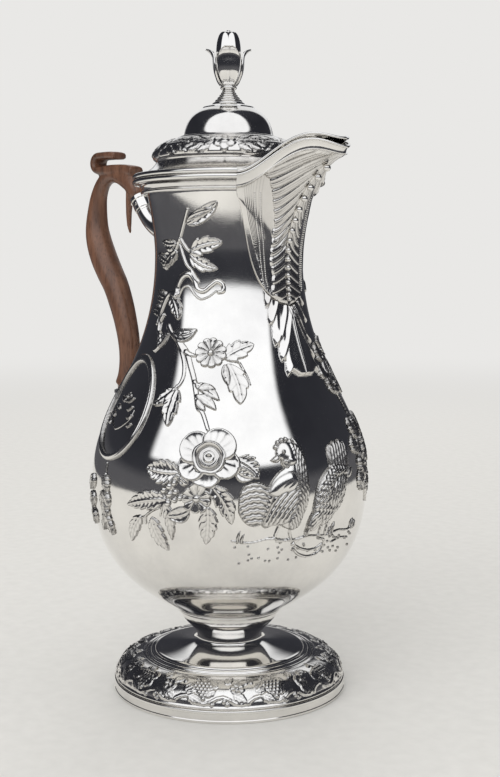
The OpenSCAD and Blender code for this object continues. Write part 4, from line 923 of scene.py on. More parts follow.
def foot_fruit():
    """The border of the foot: bunches of grapes, vine leaves, a flower and scrolls, ten times round."""
    low, high, repeat, wall = np.array([foot_r - 0.9, band_h + seam]), np.array([border_r, border_z]), 36, 1.3
    c = ring_chasing(curve([low, low + [0.4, 5.2], high + [9, 0.9], high], 90))
    scroll_s = 4.2
    da = np.arange(-1, 38, 3)
    wave = np.stack([(da - 18) * DEG * c.radius(scroll_s), 1.7 * np.sin(da / 18 * math.pi * 2)], 1)
    for a in range(-repeat, 360 + repeat + 1, repeat):
        c.stamp(a + 18, scroll_s, 18, cord(wave, 1.3, 0.7, 0.0), over=0.3)
        for da, s, size, w, turn, lobes, veins, cup in (
                (3, 8, 7.5, 5.2, 35, 4, 5, 0.5), (6, 6.2, 6.5, 4.4, -28, 3, 4, 0.5),
                (20, 11, 6.5, 4.6, 155, 3, 4, 0.5), (19, 9, 6.5, 4.6, 205, 3, 4, 0.5),
                (24, 12.5, 6, 4, 60, 3, 4, 0.5), (28, 7, 6.5, 4.4, -30, 3, 4, 0.4), (31, 12.8, 5.5, 3.8, 20, 3, 3, 0.5),
                (13, 13.5, 5.5, 3.8, 120, 3, 3, 0.5)):
            c.stamp(a + da, s, size * 1.3 + w, leaf(size, w, lobes=lobes, veins=veins, lift=0.5, cup=cup, rib=0.2),
                    turn * DEG, over=0.15)
        # a bunch of grapes
        for row, count in enumerate((4, 5, 4, 3, 2, 1)):
            s = 12.6 - row * 1.55
            for i in range(count):
                x = (i - (count - 1) / 2) * 1.75 + 0.25 * row
                c.stamp(a + 12 + x / (DEG * c.radius(s)), s, 2.2, lobe(0.95, 0.95, 1.35, -0.85), over=0.0)
        c.stamp(a + 30, 9.8, 6, blossom(3.1, 6, lift=0.8, cup=0.4), over=0.0)
        for da, s in ((23.5, 4), (25, 2.6), (26.4, 4.4), (33.5, 15), (0.5, 14.2), (1.8, 13), (35, 3), (8, 15.4),
                      (16.5, 3.4), (17.8, 2.4)):
            c.stamp(a + da, s, 2, lobe(0.8, 0.8, 1.0, -0.6), over=0.0)
    finish_ring(c, shade=0.85, low=0.55, pitch=0.95, deep=0.04, seed=5, matt=0.06)
    c.h += 0.55 * (bump(c.s - 0.9, 0.5) + bump(c.s - c.s[-1] + 0.9, 0.5))[:, None]
    rows, n = c.h.shape
    back = c.surface(np.full_like(c.h, -wall))[np.r_[0:rows - 1:3, rows - 1]][::-1]
    dark = np.concatenate([c.dark, np.zeros((len(back), n))])
    return make_piece("foot_fruit_border", np.concatenate([c.surface(c.h), back]).reshape(-1, 3),
                      grid(rows + len(back), n, True, True), chased_silver, recess=dark)


foot()
settle(foot_fruit(), "pot", "silver_chased", "foot_border")


# ---- lid
def lid():
    """The domed lid: a plain hollow moulding, a chased band of flowers, a bead and a plain dome."""
    band_z, dome_z = lid_z + 10.7, lid_z + 19.6
    hollow = curve([[flange_r, lid_z + 1.9], [flange_r - 3, lid_z + 2.2], [band_r - 1.2, lid_z + 5.2],
                    [band_r - 2.2, lid_z + 8]], 17)
    band = curve([[band_r - 2, lid_z + 8.6], [band_r + 0.9, lid_z + 9.2], [band_r + 0.4, band_z + 4],
                  [dome_r + 8, dome_z - 1.6], [dome_r + 3.4, dome_z - 0.9]], 60)
    dome = np.vstack([arc(dome_r + 2.2, dome_z - 0.6, 0.7, 20, 140, 7),
                      curve([[dome_r + 0.6, dome_z], [dome_r - 0.9, dome_z + 0.8],
                             [dome_r + 0.4, dome_z + dome_h * 0.72], [dome_r - 6.4, dome_z + dome_h * 0.86],
                             [12.3, dome_top - 0.3]], 34)])
    c = ring_chasing(band)
    middle, repeat = 7.8, 60

    def lay(a, x, s, reach, shape, turn=0.0, over=0.0):
        c.stamp(a + x / (DEG * c.radius(s)), s, reach, shape, turn * DEG, over)
    for a in range(11 - repeat, 12 + 360 + repeat, repeat):
        for side in (-1, 1):
            for x, s, tilt, size, w in ((5.4, 7.6, 0, 10.5, 4.4), (6.2, 10.2, 26, 6.6, 3.2),
                                        (6.2, 5.2, -26, 6.6, 3.2), (11.6, 10.2, 24, 5.6, 3),
                                        (11.6, 5.2, -24, 5.6, 3)):
                lay(a, side * x, s, size * 1.3 + w, leaf(size, w, lobes=3, veins=3, lift=0.5, cup=0.45),
                    tilt if side > 0 else 180 - tilt, over=0.1)
        lay(a, 17.4, middle, 6, blossom(2.9, 5, lift=0.8, cup=0.4, turn=0.4))
        for x, s in ((17.4, 12.4), (17.4, 3.4), (0, 13.4), (0, 2.6)):
            lay(a, x, s, 2.5, lobe(0.9, 0.9, 0.7, -0.3))
        # a flower of six round petals
        for petal in range(30, 360, 60):
            x, y = spun(3.1, 0, -petal * DEG)
            lay(a, x, middle + y, 4, lobe(1.9, 1.9, 0.9, 0.4))
        lay(a, 0, middle, 4, lobe(1.9, 1.9, 2.0, -0.7))
    finish_ring(c, shade=0.9, low=0.45, pitch=0.9, deep=0.03, seed=9, matt=0.03)
    under = offset_line(np.vstack([hollow, band[::5], dome[::2]]), sheet)
    under = under[(under[:, 0] < flange_r - 3.2) & (under[:, 1] > lid_z + 1.6) & (under[:, 1] < dome_top - 2)]
    inside, hole_r = mouth_r - sheet - 2.2, 1.56
    before = np.vstack([[[inside, lid_z], [flange_r, lid_z]], hollow])
    after = np.vstack([dome, [[hole_r, dome_top - 0.3], [hole_r, dome_top - 2.1], [10.5, dome_top - 2.1]],
                       under[::-1], [[inside, lid_z + 1.6]]])
    rows = np.concatenate([turn_line(before, c.az), c.surface(c.h), turn_line(after, c.az)])
    n = len(c.az)
    dark = np.concatenate([np.zeros((len(before), n)), c.dark, np.zeros((len(after), n))])
    # in front the flange stops where the cover of the beak takes over
    a = np.abs((c.az + 180) % 360 - 180)[None, :]
    r = np.hypot(rows[..., 0], rows[..., 1])
    stop = (a < spout_angle) & (rows[..., 2] < lid_z + 4.15) & (r > cover_r - seam)
    rows[..., :2] *= np.where(stop, (cover_r - seam) / r, 1.0)[..., None]
    return make_piece("lid_domed", rows.reshape(-1, 3), grid(len(rows), n, True, True), chased_silver, 42, dark)


settle(lid(), "lid", "silver", "lid_cover")


def turned(points, degrees):
    """Points turned about the axis."""
    x, y = spun(points[..., 0], points[..., 1], -degrees * DEG)
    return np.stack([x, y, points[..., 2]], -1)


def finial():
    """A closed bud of four petals in a cup of four round-tipped leaves, on a stepped base."""
    base_z, base_h, foot_z, hole_r = dome_top - 0.3 + seam, 10.4, bud_z + seam, 1.54
    scale = (bud_z - base_z) / base_h
    steps = [(12.2, 0), (12.1, 0.4), (11.6, 0.75), (10.4, 0.95), (10.2, 1.15), (9.0, 1.35)]
    for r, low, high in ((7.6, 1.45, 2.7), (6.3, 2.9, 4.0), (5.2, 4.2, 5.2), (4.3, 5.4, 6.3), (3.6, 6.5, 7.3),
                         (3.0, 7.5, 8.3), (3.85, 8.7, 10.1)):
        half = (high - low) / 2
        steps += [(r + half * (math.cos(t) - 1), (low + high) / 2 + half * math.sin(t))
                  for t in np.linspace(-1.5, 1.5, 9)]
    steps = np.array(steps + [(3.2, base_h)]) * [1, scale] + [0, base_z]
    settle(lathe("finial_steps", [[[hole_r, base_z]], steps, [[hole_r, base_z + base_h * scale]]], polished_silver,
                 200, sharp=38), "lid", "silver", "finial_base")
    h = finial_top - foot_z
    bulb = curve([[0.9, 0], [1.2, h * 0.2], [6.7, h * 0.42], [3.8, h * 0.72], [4.4, h * 0.97], [0, h * 0.97]], 60)
    bulb[0, 0] = 0.0
    heart = curve([[2.9, 0], [3.4, h * 0.25], [5.4, h * 0.5], [2.2, h * 0.8], [3, h], [0, h]], 40)
    heart = np.vstack([[[0, 0]], heart])
    petals = []
    az = np.arange(0, 360, 5.0)
    for i, (line, out) in enumerate([(bulb, 2.2)] * 4 + [(heart, 0.0)]):
        points = turn_line(line + [0, foot_z], az)
        # a shallow crease down each petal, deepest near its tip
        fall = soft((line[:, 1] / h - 0.35) * 1.6)[:, None] * (out > 0)
        points[..., :2] *= (1 - 0.10 * fall * bump((az + 180) % 360 - 180, 17.8885)[None])[..., None]
        points[..., 0] += out
        petals.append(make_piece("petal", turned(points, 90 * i).reshape(-1, 3),
                                 grid(len(line), len(az), False, True), polished_silver))
    settle(join("finial_petals", petals), "lid", "silver", "finial_bud")
    h = finial_top - bud_z
    rise = curve([[3.8, 0], [6.6, h * 0.10], [9.0, h * 0.36], [6.4, h * 0.52], [7.4, h * 0.61], [10.4, h * 0.645]], 60)
    wide = curve([[2.6, 0.1], [6.0, h * 0.22], [5.6, h * 0.46], [5.4, h * 0.64], [0.5, h * 0.655]], 80)
    v = np.linspace(-1, 1, 41)[None, :]
    half = np.maximum(read(wide, rise[:, 1], of=1, value=0), 0.12)[:, None]
    y = half * v
    skins = [np.sqrt(np.maximum((rise[:, :1] - thick) ** 2 - y ** 2 * 0.55, 0.04)) for thick in (0, 0.55)]
    # outside: a rib, rolled edges and a hollow between them
    skins[0] += 0.16 * bump(y, 0.5) + 0.55 * np.abs(v) ** 5 * soft(half / 2) - 0.25 * (1 - v ** 2) * soft(half / 4)
    outer, inner = (np.stack([x, y, rise[:, 1:] + foot_z + 0 * x], -1) for x in skins)
    loops = np.concatenate([outer, inner[:, ::-1]], 1)
    settle(join("finial_leaf_cup", [sweep("leaf", turned(loops, 90 * i - 45), polished_silver, thin=True)
                                    for i in range(4)]), "lid", "silver_chased", "finial_leaves")


finial()


# ---- spout
# Rows of the spout run across it, from one root to the other; its columns are these.
across = np.linspace(-1, 1, 281)
middle = len(across) // 2


def sector(w, r=1.0):
    """Points on a circle over the spout's sector, for w from -1 to 1."""
    a = spout_angle * DEG * w
    return np.stack([r * np.cos(a), r * np.sin(a), 0 * w], 1)


def beak_edge(root, far, w, rise):
    """The beak's edge, from one root (w = -1) round the tip (0) to the other root (1), with rise(t)
    added to the height of its top."""
    a, t = spout_angle * DEG, 1 - np.abs(w)
    x, y = bez([[root * math.cos(a), root * math.sin(a)], [far * 44 / reach, root * 0.32],
                [far * 66.5 / reach, root * 0.32], [far, 0]], t).T
    top = bez([rim_z - 0.1, rim_z + 0.7, tip_z + 14.2, tip_z, tip_z], t)
    return np.stack([x, np.sign(w) * y, top + rise(t)], 1)


def low_edge(w):
    """The edge of the spout's sheet, where its lip begins."""
    return beak_edge(moulding_r + 0.5, reach - 1.9, w, lambda t: 2 * t * t - 5.9)


def top_edge(w):
    """The rim of the beak, where its lip ends."""
    return beak_edge(rim_r - 0.6, reach - 0.6, w, lambda t: -0.6)


def on_body(az, z, out):
    """Points over the body's wall, out millimetres off it."""
    r = body_r(z) + out
    return np.stack([r * np.cos(az * DEG), r * np.sin(az * DEG), z + 0 * az], -1)


# where the beak springs from the body, and the lower edge of the panel that lies on it
root_az = across * (spout_angle - 1.2)
root_height = throat_z + (collar_z - 3 - throat_z) * np.abs(across) ** 1.5
panel_az = np.sign(across) * bez([0, 34, 30, spout_angle - 0.6], np.abs(across))
panel_foot = bez([panel_z, panel_z + 4, panel_z + 30, collar_z - 1], np.abs(across))


def beak_row(t, out):
    """A row of the beak, from the body (t = 0) to its lower edge (1), out millimetres off the back."""
    outward = np.stack([np.cos(root_az * DEG), np.sin(root_az * DEG), 0 * across], 1)
    a, b = on_body(root_az, root_height, out), low_edge(across) - (spout_wall - out) * outward
    return bez([a, a + (b - a) * [0.02, 0.13, 0.25], a + (b - a) * [0.37, 0.47, 0.93], b], t)


def panel_row(f, out):
    """A row of the panel that lies on the body, from its lower edge (f = 0) to the beak (1)."""
    f = 0.97 * f
    return on_body(mix(panel_az, root_az, f), mix(panel_foot, root_height, f), out)


# The spout's work, measured by height: the half width of the fluted field (as a share of the row),
# how far a flute climbs on its way out, and the azimuths of the rib's edge and the lines of dots.
flute_pitch = 4.2
serration = np.array([[176, 0.16], [190, 0.17], [197.1, 0.19], [202.8, 0.26], [210.4, 0.31], [214.7, 0.33],
                      [219.1, 0.32], [223.5, 0.35], [227.7, 0.40], [234.1, 0.48], [238.3, 0.57], [241, 0.68],
                      [245, 0.85], [249, 1.2], [256, 1.4]])
flute_rise = np.array([[170, 3.4], [190, 4], [198, 5.4], [209, 8.8], [215, 9.5], [223, 11.5], [232, 12.5],
                       [240, 14.5], [256, 16]])
rib_edge = np.array([[180, 12], [189.5, 18.4], [193.1, 20.9], [202.8, 25.2], [210.3, 28.6], [221.2, 33.2],
                     [233.9, 37.5], [240, 39]])
dots_out = np.array([[189.6, 19.0], [191, 20.3], [202.9, 22.6], [212.4, 24.1], [223.3, 27.5], [233.5, 29.4]])
dots_in = np.array([[191.6, 17.4], [194.8, 18.8], [212.5, 21.1], [221.2, 23.6], [233.5, 25.5]])


def spout_relief(p):
    """Height and shade of the work on the spout: flutes that curl out from the keel to a toothed
    edge, then a plain border with two lines of dots and a strip of fine lines."""
    w, z = np.abs(across)[None, :], p[..., 2]
    az = np.abs(np.degrees(np.arctan2(p[..., 1], p[..., 0])))
    u = np.clip(w / read(serration, z), 0, 3)
    # each place is followed back along its flute to the height where that flute leaves the keel
    root = z - 0.6 * read(flute_rise, z)
    for _ in range(24):
        v = np.clip(1 - w / read(serration, root + 2), 0, 1)
        root = (root + z - read(flute_rise, root) * v ** mix(1.25, 1.7, soft((root - 195) / 25))) / 2
    part = root / flute_pitch + 0.15
    part = part - np.floor(part)
    round_rib = np.clip(1 - (2 * part - 1) ** 2, 0, 1) ** 0.55
    lines = bump(part - 0.36, 0.055) + bump(part - 0.60, 0.055)
    inside = soft((1.0 + 0.07 * round_rib - u) / 0.055 + 0.5)
    high = inside * (0.25 + 0.85 * round_rib - 0.30 * lines) * soft(u * 5)
    dark = inside * (0.7 * bump(np.minimum(part, 1 - part), 0.09) + 0.45 * lines)
    # the strip of fine lines outside the dots, and a rail on each side of a line of dots
    outer, edge = read(dots_out, z), read(rib_edge, z)
    f = (az - outer - 1.0) / np.maximum(edge - outer - 1.0, 0.4)
    strip = soft(f * 8) * soft((1 - f) * 8) * (u > 1.1)
    groove = bump(5 * f - np.round(5 * f), 0.16)
    high += strip * (0.12 - 0.26 * groove)
    dark = np.maximum(dark, 0.4 * strip * groove)
    for line in (read(dots_in, z), outer):
        rail = bump(np.abs(az - line) - 0.95, 0.22) * (u > 1.08)
        high -= 0.10 * rail
        dark = np.maximum(dark, 0.3 * rail)
    return high, dark


def zipper(a, b):
    """A strip of triangles between two runs of corner numbers that start and end together."""
    i = j = 0
    out = []
    while i < len(a) - 1 or j < len(b) - 1:
        if j == len(b) - 1 or (i < len(a) - 1 and (i + 1) / (len(a) - 1) <= (j + 1) / (len(b) - 1)):
            out.append([a[i], b[j], a[i + 1], -1])
            i += 1
        else:
            out.append([a[i], b[j], b[j + 1], -1])
            j += 1
    return np.array(out)


def spout():
    """The spout's sheet with its chased front, and the points of that front."""
    panel = [panel_row(f, mix(0.9, spout_wall, f)) for f in np.linspace(0, 1, 44)[:-1]]
    front = np.array(panel + [beak_row(t, spout_wall) for t in np.linspace(0, 1, 118)])
    # the bend between panel and beak, eased
    for _ in range(10):
        front[34:56] = (front[33:55] + 2 * front[34:56] + front[35:57]) / 4
    back = np.array([panel_row(f, seam) for f in np.linspace(0, 1, 16)[:-1]]
                    + [beak_row(t, seam) for t in np.linspace(0, 1, 40)])[:, ::4]
    normal = unit(np.cross(np.gradient(front, axis=1), np.gradient(front, axis=0)))
    normal *= np.sign(normal[60, middle, 0])
    high, dark = spout_relief(front)
    rows, cols = front.shape[:2]
    row = np.arange(rows)
    fade = np.minimum(soft(row / 3), soft((rows - 1 - row) / 5))[:, None] * soft((1 - np.abs(across)) * 30)[None]
    work = front + normal * (high * fade)[..., None]
    # the back has a quarter of the columns, so its border is stitched to the front with fans
    f = np.arange(rows * cols).reshape(rows, cols)
    g = f.size + np.arange(back.size // 3).reshape(back.shape[:2])
    faces = [grid(rows, cols), grid(*g.shape, start=f.size)[:, ::-1], zipper(f[0], g[0]),
             zipper(f[-1][::-1], g[-1][::-1]), zipper(f[::-1, 0], g[::-1, 0]), zipper(f[:, -1], g[:, -1])]
    piece = make_piece("spout_fluted", np.concatenate([work.reshape(-1, 3), back.reshape(-1, 3)]), np.vstack(faces),
                       chased_silver, recess=np.concatenate([(dark * fade).ravel(), np.zeros(g.size)]))
    return piece, work.reshape(-1, 3)


def made_real(piece):
    """The piece with the mesh its modifiers give it, and no modifiers."""
    mesh = bpy.data.meshes.new_from_object(piece.evaluated_get(bpy.context.evaluated_depsgraph_get()))
    piece.modifiers.clear()
    piece.data = mesh
    return piece


def beads(name, centres, radii, segments, rings):
    """Round beads at points, one size each: instances made real as one mesh."""
    mesh = bpy.data.meshes.new(name)
    mesh.from_pydata([tuple(c * METRES) for c in centres], [], [])
    layer = mesh.attributes.new("bead_radius", "FLOAT", "POINT")
    layer.data.foreach_set("value", np.asarray(radii, np.float32) * METRES)
    piece = bpy.data.objects.new(name, mesh)
    bpy.context.scene.collection.objects.link(piece)
    tree = bpy.data.node_groups.new("beads on points", "GeometryNodeTree")
    tree.interface.new_socket("Points", in_out="INPUT", socket_type="NodeSocketGeometry")
    count, rows = (tree.interface.new_socket(label, in_out="INPUT", socket_type="NodeSocketInt")
                   for label in ("Segments", "Rings"))
    tree.interface.new_socket("Beads", in_out="OUTPUT", socket_type="NodeSocketGeometry")
    source = add(tree, "NodeGroupInput").outputs
    ball = add(tree, "GeometryNodeMeshUVSphere", Segments=source["Segments"], Rings=source["Rings"], Radius=1.0)
    size = add(tree, "GeometryNodeInputNamedAttribute", {"data_type": "FLOAT"}, Name="bead_radius")
    placed = add(tree, "GeometryNodeInstanceOnPoints", Points=source["Points"], Instance=ball, Scale=size)
    real = add(tree, "GeometryNodeRealizeInstances", Geometry=placed)
    smooth = add(tree, "GeometryNodeSetShadeSmooth", Geometry=real)
    add(tree, "NodeGroupOutput", Beads=add(tree, "GeometryNodeSetMaterial", Geometry=smooth, Material=polished_silver))
    modifier = piece.modifiers.new("beads", "NODES")
    modifier.node_group = tree
    modifier[count.identifier] = segments
    modifier[rows.identifier] = rings
    return made_real(piece)


def in_plane(points):
    """Points of the pot's own plane, in space."""
    points = np.asarray(points, float)
    return np.stack([points[:, 0], 0 * points[:, 0], points[:, 1]], 1)


def keel_beads():
    """The beads down the keel: sixteen, smaller and closer towards the foot, on a thin ridge."""
    number, largest, seat = 16, 1.68, 0.12
    line = [beak_row(t, spout_wall)[middle] for t in np.arange(0.82, 0.019, -0.01)]
    line += [on_body(np.zeros(1), z, mix(0.9, spout_wall, soft((z - panel_z) / (throat_z - panel_z))))[0]
             for z in np.linspace(throat_z, panel_z + 2.6, 40)]
    line = np.array(line)[:, [0, 2]]
    run = run_of(line)
    i = np.arange(number)
    r = largest * (1 - 0.48 * (i / (number - 1)) ** 1.2)
    gap = np.concatenate([[0], np.cumsum(1 - 0.66 * i[:-1] / (number - 2))])
    s = run[-1] * gap / gap[-1]
    t = unit(points_at(line, run, s + 0.4) - points_at(line, run, np.maximum(s - 0.4, 0)))
    balls = beads("balls", in_plane(points_at(line, run, s) + (r - seat)[:, None] * left_of(t)), r, 26, 16)
    ridge = points_at(line, run, np.linspace(s[0], s[-1], 80)) + [0.1, 0]
    return join("keel_beads", [balls, tube("wire", in_plane(ridge), 0.38, polished_silver, 12)])


def lip():
    """The lip of the spout: a fillet, a wide hollow band and a wire along its edge."""
    w = np.linspace(-1, 1, 221)
    a, b, out = low_edge(w)[:, None], top_edge(w)[:, None], sector(w)[:, None]
    f = np.concatenate([[0, 0.015], np.linspace(0.05, 0.13, 6), np.linspace(0.16, 1, 16)])
    fillet = 0.35 + 0.4 * np.sqrt(np.clip(1 - ((f - 0.09) / 0.045) ** 2, 0, 1))
    swell = np.where(f < 0.02, 0.25, np.where(f <= 0.13, fillet, -0.55 * np.sin(math.pi * f)))
    g = np.linspace(1, 0, 14)
    loops = np.concatenate([mix(a, b, f[:, None]) + swell[:, None] * out,
                            mix(a, b, g[:, None]) - (spout_wall + 0.5 * np.sin(math.pi * g))[:, None] * out], 1)
    band = sweep("band", loops + [0, 0, seam], polished_silver, 40)
    return join("spout_lip", [band, tube("wire", (b - 0.14 * out)[:, 0], 0.6, polished_silver, level=True)])


def beak_cover():
    """The tongue of the lid that covers the spout, edged with a wire."""
    w = np.linspace(-1, 1, 181)
    edge = beak_edge(rim_r - 0.6, reach - 1.4, w, lambda t: 0.9 + 2.2 * t * t)
    skins = []
    for below in (0.0, 1.1):
        a = sector(w, cover_r + seam) + [0, 0, lid_z + 4.0 - below]
        b = edge + [0, 0, 0.5 - below]
        middle_point = (a + b) / 2
        middle_point[:, 2] = mix(a[:, 2], b[:, 2], 0.35)
        skins.append(np.stack([bez([a, middle_point, b], f) for f in np.linspace(0, 1, 26)], 1))
    skin = sweep("skin", np.concatenate([skins[0], skins[1][:, ::-1]], 1), polished_silver, 40, thin=True)
    return join("beak_tongue", [skin, tube("wire", edge, 0.6, polished_silver, level=True)])


def drop_leaf():
    """The leaf under the spout: five tongues down each side of a double midrib, each with a hooked
    tip that lies over the next."""
    c = Chasing(body_line, -23.5, 23.5, run_at(149), run_at(194.5), 0.22)
    z, az = c.z[:, None] + 0 * c.az[None, :], np.abs(c.az)[None, :] + 0 * c.z[:, None]
    # the lower edge of each tongue, from its tip in to the midrib (azimuth, height), and the margin
    # that runs up from its tip (height, azimuth)
    tongues = (([(19.6, 182.4), (17, 184.2), (14.5, 187), (12, 191), (0, 200)],
                [(182.4, 19.6), (186, 20.5), (194, 21)]),
               ([(18.5, 174.6), (15.5, 176.3), (13, 179.6), (10.8, 183), (0, 197)],
                [(174.6, 18.5), (178, 19.3), (182.4, 17.8), (194, 16)]),
               ([(16.5, 165.2), (10.8, 169.2), (7.6, 174.8), (5.2, 179), (0, 190)],
                [(165.2, 16.5), (169, 17.3), (174.6, 16.7), (190, 14)]),
               ([(14.2, 158.6), (10.3, 162.3), (8.0, 165.6), (5.0, 171), (0, 181)],
                [(158.6, 14.2), (161.5, 15.0), (165.2, 14.2), (185, 12)]),
               ([(12.6, 152.4), (9.2, 154.6), (6, 152.8), (2.4, 150.6), (0, 150.2)],
                [(152.4, 12.6), (155, 13.1), (158.6, 12.0), (178, 10)]))
    high, dark, cover = np.zeros(z.shape), np.zeros(z.shape), np.zeros(z.shape, bool)
    for edge, margin in tongues:
        edge, margin = np.array(edge)[::-1], np.array(margin)
        above, inside = z - read(edge, az), read(margin, z) - az
        here = ~cover & (above > 0) & (inside > 0) & (z > margin[0, 0] - 0.01)
        fat = 0.42 + 0.75 * bump(above - 1.3, 2.4) * soft(above / 0.5)
        fat += 0.25 * np.sin(np.clip(inside / 5, 0, 1) * math.pi)
        high = np.where(here, fat * soft(np.minimum(above * 0.8, inside * 0.5) / 0.45 + 0.25), high)
        # painted shadow: a dark band just under each tongue's lower edge, where the hooked tip above shades the tongue
        # beneath, and painted shade just inside that edge
        below = ~cover & ~here & (above > -1.0) & (above <= 0)
        dark = np.maximum.reduce([dark, 0.9 * below * np.exp(np.minimum(above, 0) / 0.4),
                                  0.7 * here * np.exp(-np.maximum(above, 0) / 0.25)])
        cover |= here
    side = np.interp(z, [150, 152.4, 158.6, 165.2, 174.6, 182.4, 190], [10, 12.6, 14.2, 16.5, 18.5, 19.6, 20.5])
    high += cover * 2.3 * soft((190 - z) / 14) * soft((z - 148) / 9) * np.clip(1 - az / side, 0, 1) ** 0.85
    # the double midrib
    y = az * DEG * c.r[:, None]
    rib = soft((1.25 - y) / 0.2)
    high = np.maximum(high, 0) + rib * (0.35 - 0.4 * bump(y - 0.45, 0.16))
    # painted shade in the groove beside the double midrib
    dark = np.maximum(dark * (1 - rib), 0.8 * bump(y - 1.4, 0.2))
    cover &= z < np.interp(az, np.abs(panel_az[middle::-1]), panel_foot[middle::-1]) - 0.35
    c.h = np.where(cover, np.maximum(high, c.ground + 0.1), c.ground)
    for _ in range(5):
        c.h[1:-1, 1:-1] = (c.h[1:-1, 1:-1] * 4 + c.h[:-2, 1:-1] + c.h[2:, 1:-1] + c.h[1:-1, :-2] + c.h[1:-1, 2:]) / 8
    c.dark = dark * cover
    return c.piece("drop_leaf", back=seam)


def spout_dots(skin):
    """Punched dots in two lines down each border of the spout."""
    az = np.degrees(np.arctan2(skin[:, 1], skin[:, 0]))
    centres = []
    for table in (dots_in, dots_out):
        for z in np.arange(table[0, 0] + 0.4, 233.2, 0.95):
            for side in (-1, 1):
                d = np.hypot((az - side * read(table, z)) * 0.6, skin[:, 2] - z)
                near = np.argsort(d)[:3]
                weight = 1 / (d[near] + 0.01)
                centres.append((skin[near] * weight[:, None]).sum(0) / weight.sum())
    return beads("border_dots", np.array(centres), np.full(len(centres), 0.36), 8, 5)


piece, spout_skin = spout()
settle(piece, "pot", "silver_chased", "spout")
settle(spout_dots(spout_skin), "pot", "silver")
settle(keel_beads(), "pot", "silver", "spout_keel_beads")
settle(lip(), "pot", "silver", "spout_rim")
settle(drop_leaf(), "pot", "silver_chased", "spout_drop")
settle(beak_cover(), "lid", "silver", "lid_beak_cover")


# ---- handle
def handle():
    """The scroll handle, carved from one piece: grip, arm with its thumb scroll, a spur inside the
    loop and the two tenons. Swept bars are grown together and their joints sanded smooth."""
    lower_x, upper_mouth, upper_turn = -74.0, np.array([-62.5, 236.0]), 58 * DEG
    # x, z and half depth down the grip
    grip = through([[-63.1, 236.9, 4.5], [-66.2, 241.8, 5.1], [-72, 245.7, 5.0], [-78.6, 247.8, 4.2],
                    [-84.5, 247.8, 3.9], [-89.4, 245.2, 3.9], [-92.6, 240.8, 4.2], [-94.7, 234.6, 4.8],
                    [-95.8, 223.3, 6.0], [-94.5, 215.4, 6.8], [-91, 207, 7.2], [-86.1, 198.8, 7.1],
                    [-81.2, 191.5, 6.8], [-77.2, 182.8, 6.5], [-74, 173.8, 6.1], [-71.6, 164, 5.8],
                    [-71, 155, 5.5], [-72, 146.5, 5.5], [lower_x, 140.6, 5.9]], 5)
    arm_z, plate_z, curl_x = 250.8, 258.2, -90.5
    curl = arc(curl_x, (arm_z + plate_z) / 2, (plate_z - arm_z) / 2, -90, -270, 12)
    strap = np.vstack([[[-64.5, 249], [-69, 250], [-76, 250.6], [-84, arm_z]], curl,
                       [[-87, plate_z], [-82, 258.1], [-77.2, 257.7]]])
    strap_sizes = np.full((len(strap), 2), [2.0, 5.0])
    strap_sizes[:4], strap_sizes[-1] = [2.6, 4.5], [1.9, 4.6]
    strap = through(np.hstack([strap, strap_sizes]), 2)
    tenon = upper_mouth + np.array([[-2.22], [2.22], [7.4]]) * [math.cos(upper_turn), -math.sin(upper_turn)]
    bars = [tube(name, in_plane(path), sizes, carved_wood, sides, power) for name, path, sizes, sides, power in (
        ("grip", grip, np.stack([grip[:, 2] - 0.2, grip[:, 2] * 0.97], 1), 40, 2.0),
        ("strap", strap, strap[:, 2:], 40, 3.4),
        ("spur", [[-69, 242.6], [-70, 235.6], [-70.6, 228.6], [-70.4, 221.6], [-69.6, 218.1]],
         [[2.4, 2.6], [1.7, 2.2], [1.35, 1.8], [1, 1.3], [0.5, 0.6]], 24, 2.0),
        ("tenon", tenon, 3.5, 32, 2.0),
        ("foot", [[lower_x, 131.6], [lower_x, 137], [lower_x, 142.5]], 4.35, 32, 2.0))]
    piece = join("handle_carved", bars)
    remesh = piece.modifiers.new("grown together", "REMESH")
    remesh.mode, remesh.voxel_size, remesh.use_smooth_shade = "VOXEL", 0.00062, True
    sand = piece.modifiers.new("sanded", "SMOOTH")
    sand.factor, sand.iterations = 0.5, 7
    made_real(piece).data.materials.clear()
    piece.data.materials.append(carved_wood)
    return piece


settle(handle(), "pot", "wood", "handle_grip")


# ---- studio
def floor_and_background():
    """A pale painted board, matt and faintly dusty, that runs out into a pale background."""
    pale = colour("#E9E8E6")
    bpy.ops.mesh.primitive_plane_add(size=12.0)
    floor = bpy.context.object
    floor.name = "floor"
    material, tree, place = new_material("painted board, matt")
    dust = add(tree, "ShaderNodeTexNoise", Vector=place, Scale=140.0, Detail=4.0)
    tone = add(tree, "ShaderNodeValToRGB", {"stops": [(0.3, "#DAD9D6"), (0.7, "#DFDEDB")]}, Fac=dust)
    board = add(tree, "ShaderNodeBsdfPrincipled", Base_Color=tone, Roughness=0.9, Specular_IOR_Level=0.0)
    # far from the set the board turns up into the background, with no line between them
    away = add(tree, "ShaderNodeVectorMath", {"operation": "LENGTH"}, Vector=place).outputs["Value"]
    far = add(tree, "ShaderNodeMapRange", {"interpolation_type": "SMOOTHERSTEP"}, Value=away,
              From_Min=0.25, From_Max=2.6)
    rise = add(tree, "ShaderNodeEmission", Color=pale, Strength=1.0)
    add(tree, "ShaderNodeOutputMaterial", Surface=add(tree, "ShaderNodeMixShader", _0=far, _1=board, _2=rise))
    floor.data.materials.append(material)

    world = bpy.data.worlds.new("studio")
    bpy.context.scene.world = world
    world.use_nodes = True
    world.node_tree.nodes.clear()
    add(world.node_tree, "ShaderNodeOutputWorld",
        Surface=add(world.node_tree, "ShaderNodeBackground", Color=pale, Strength=1.0))


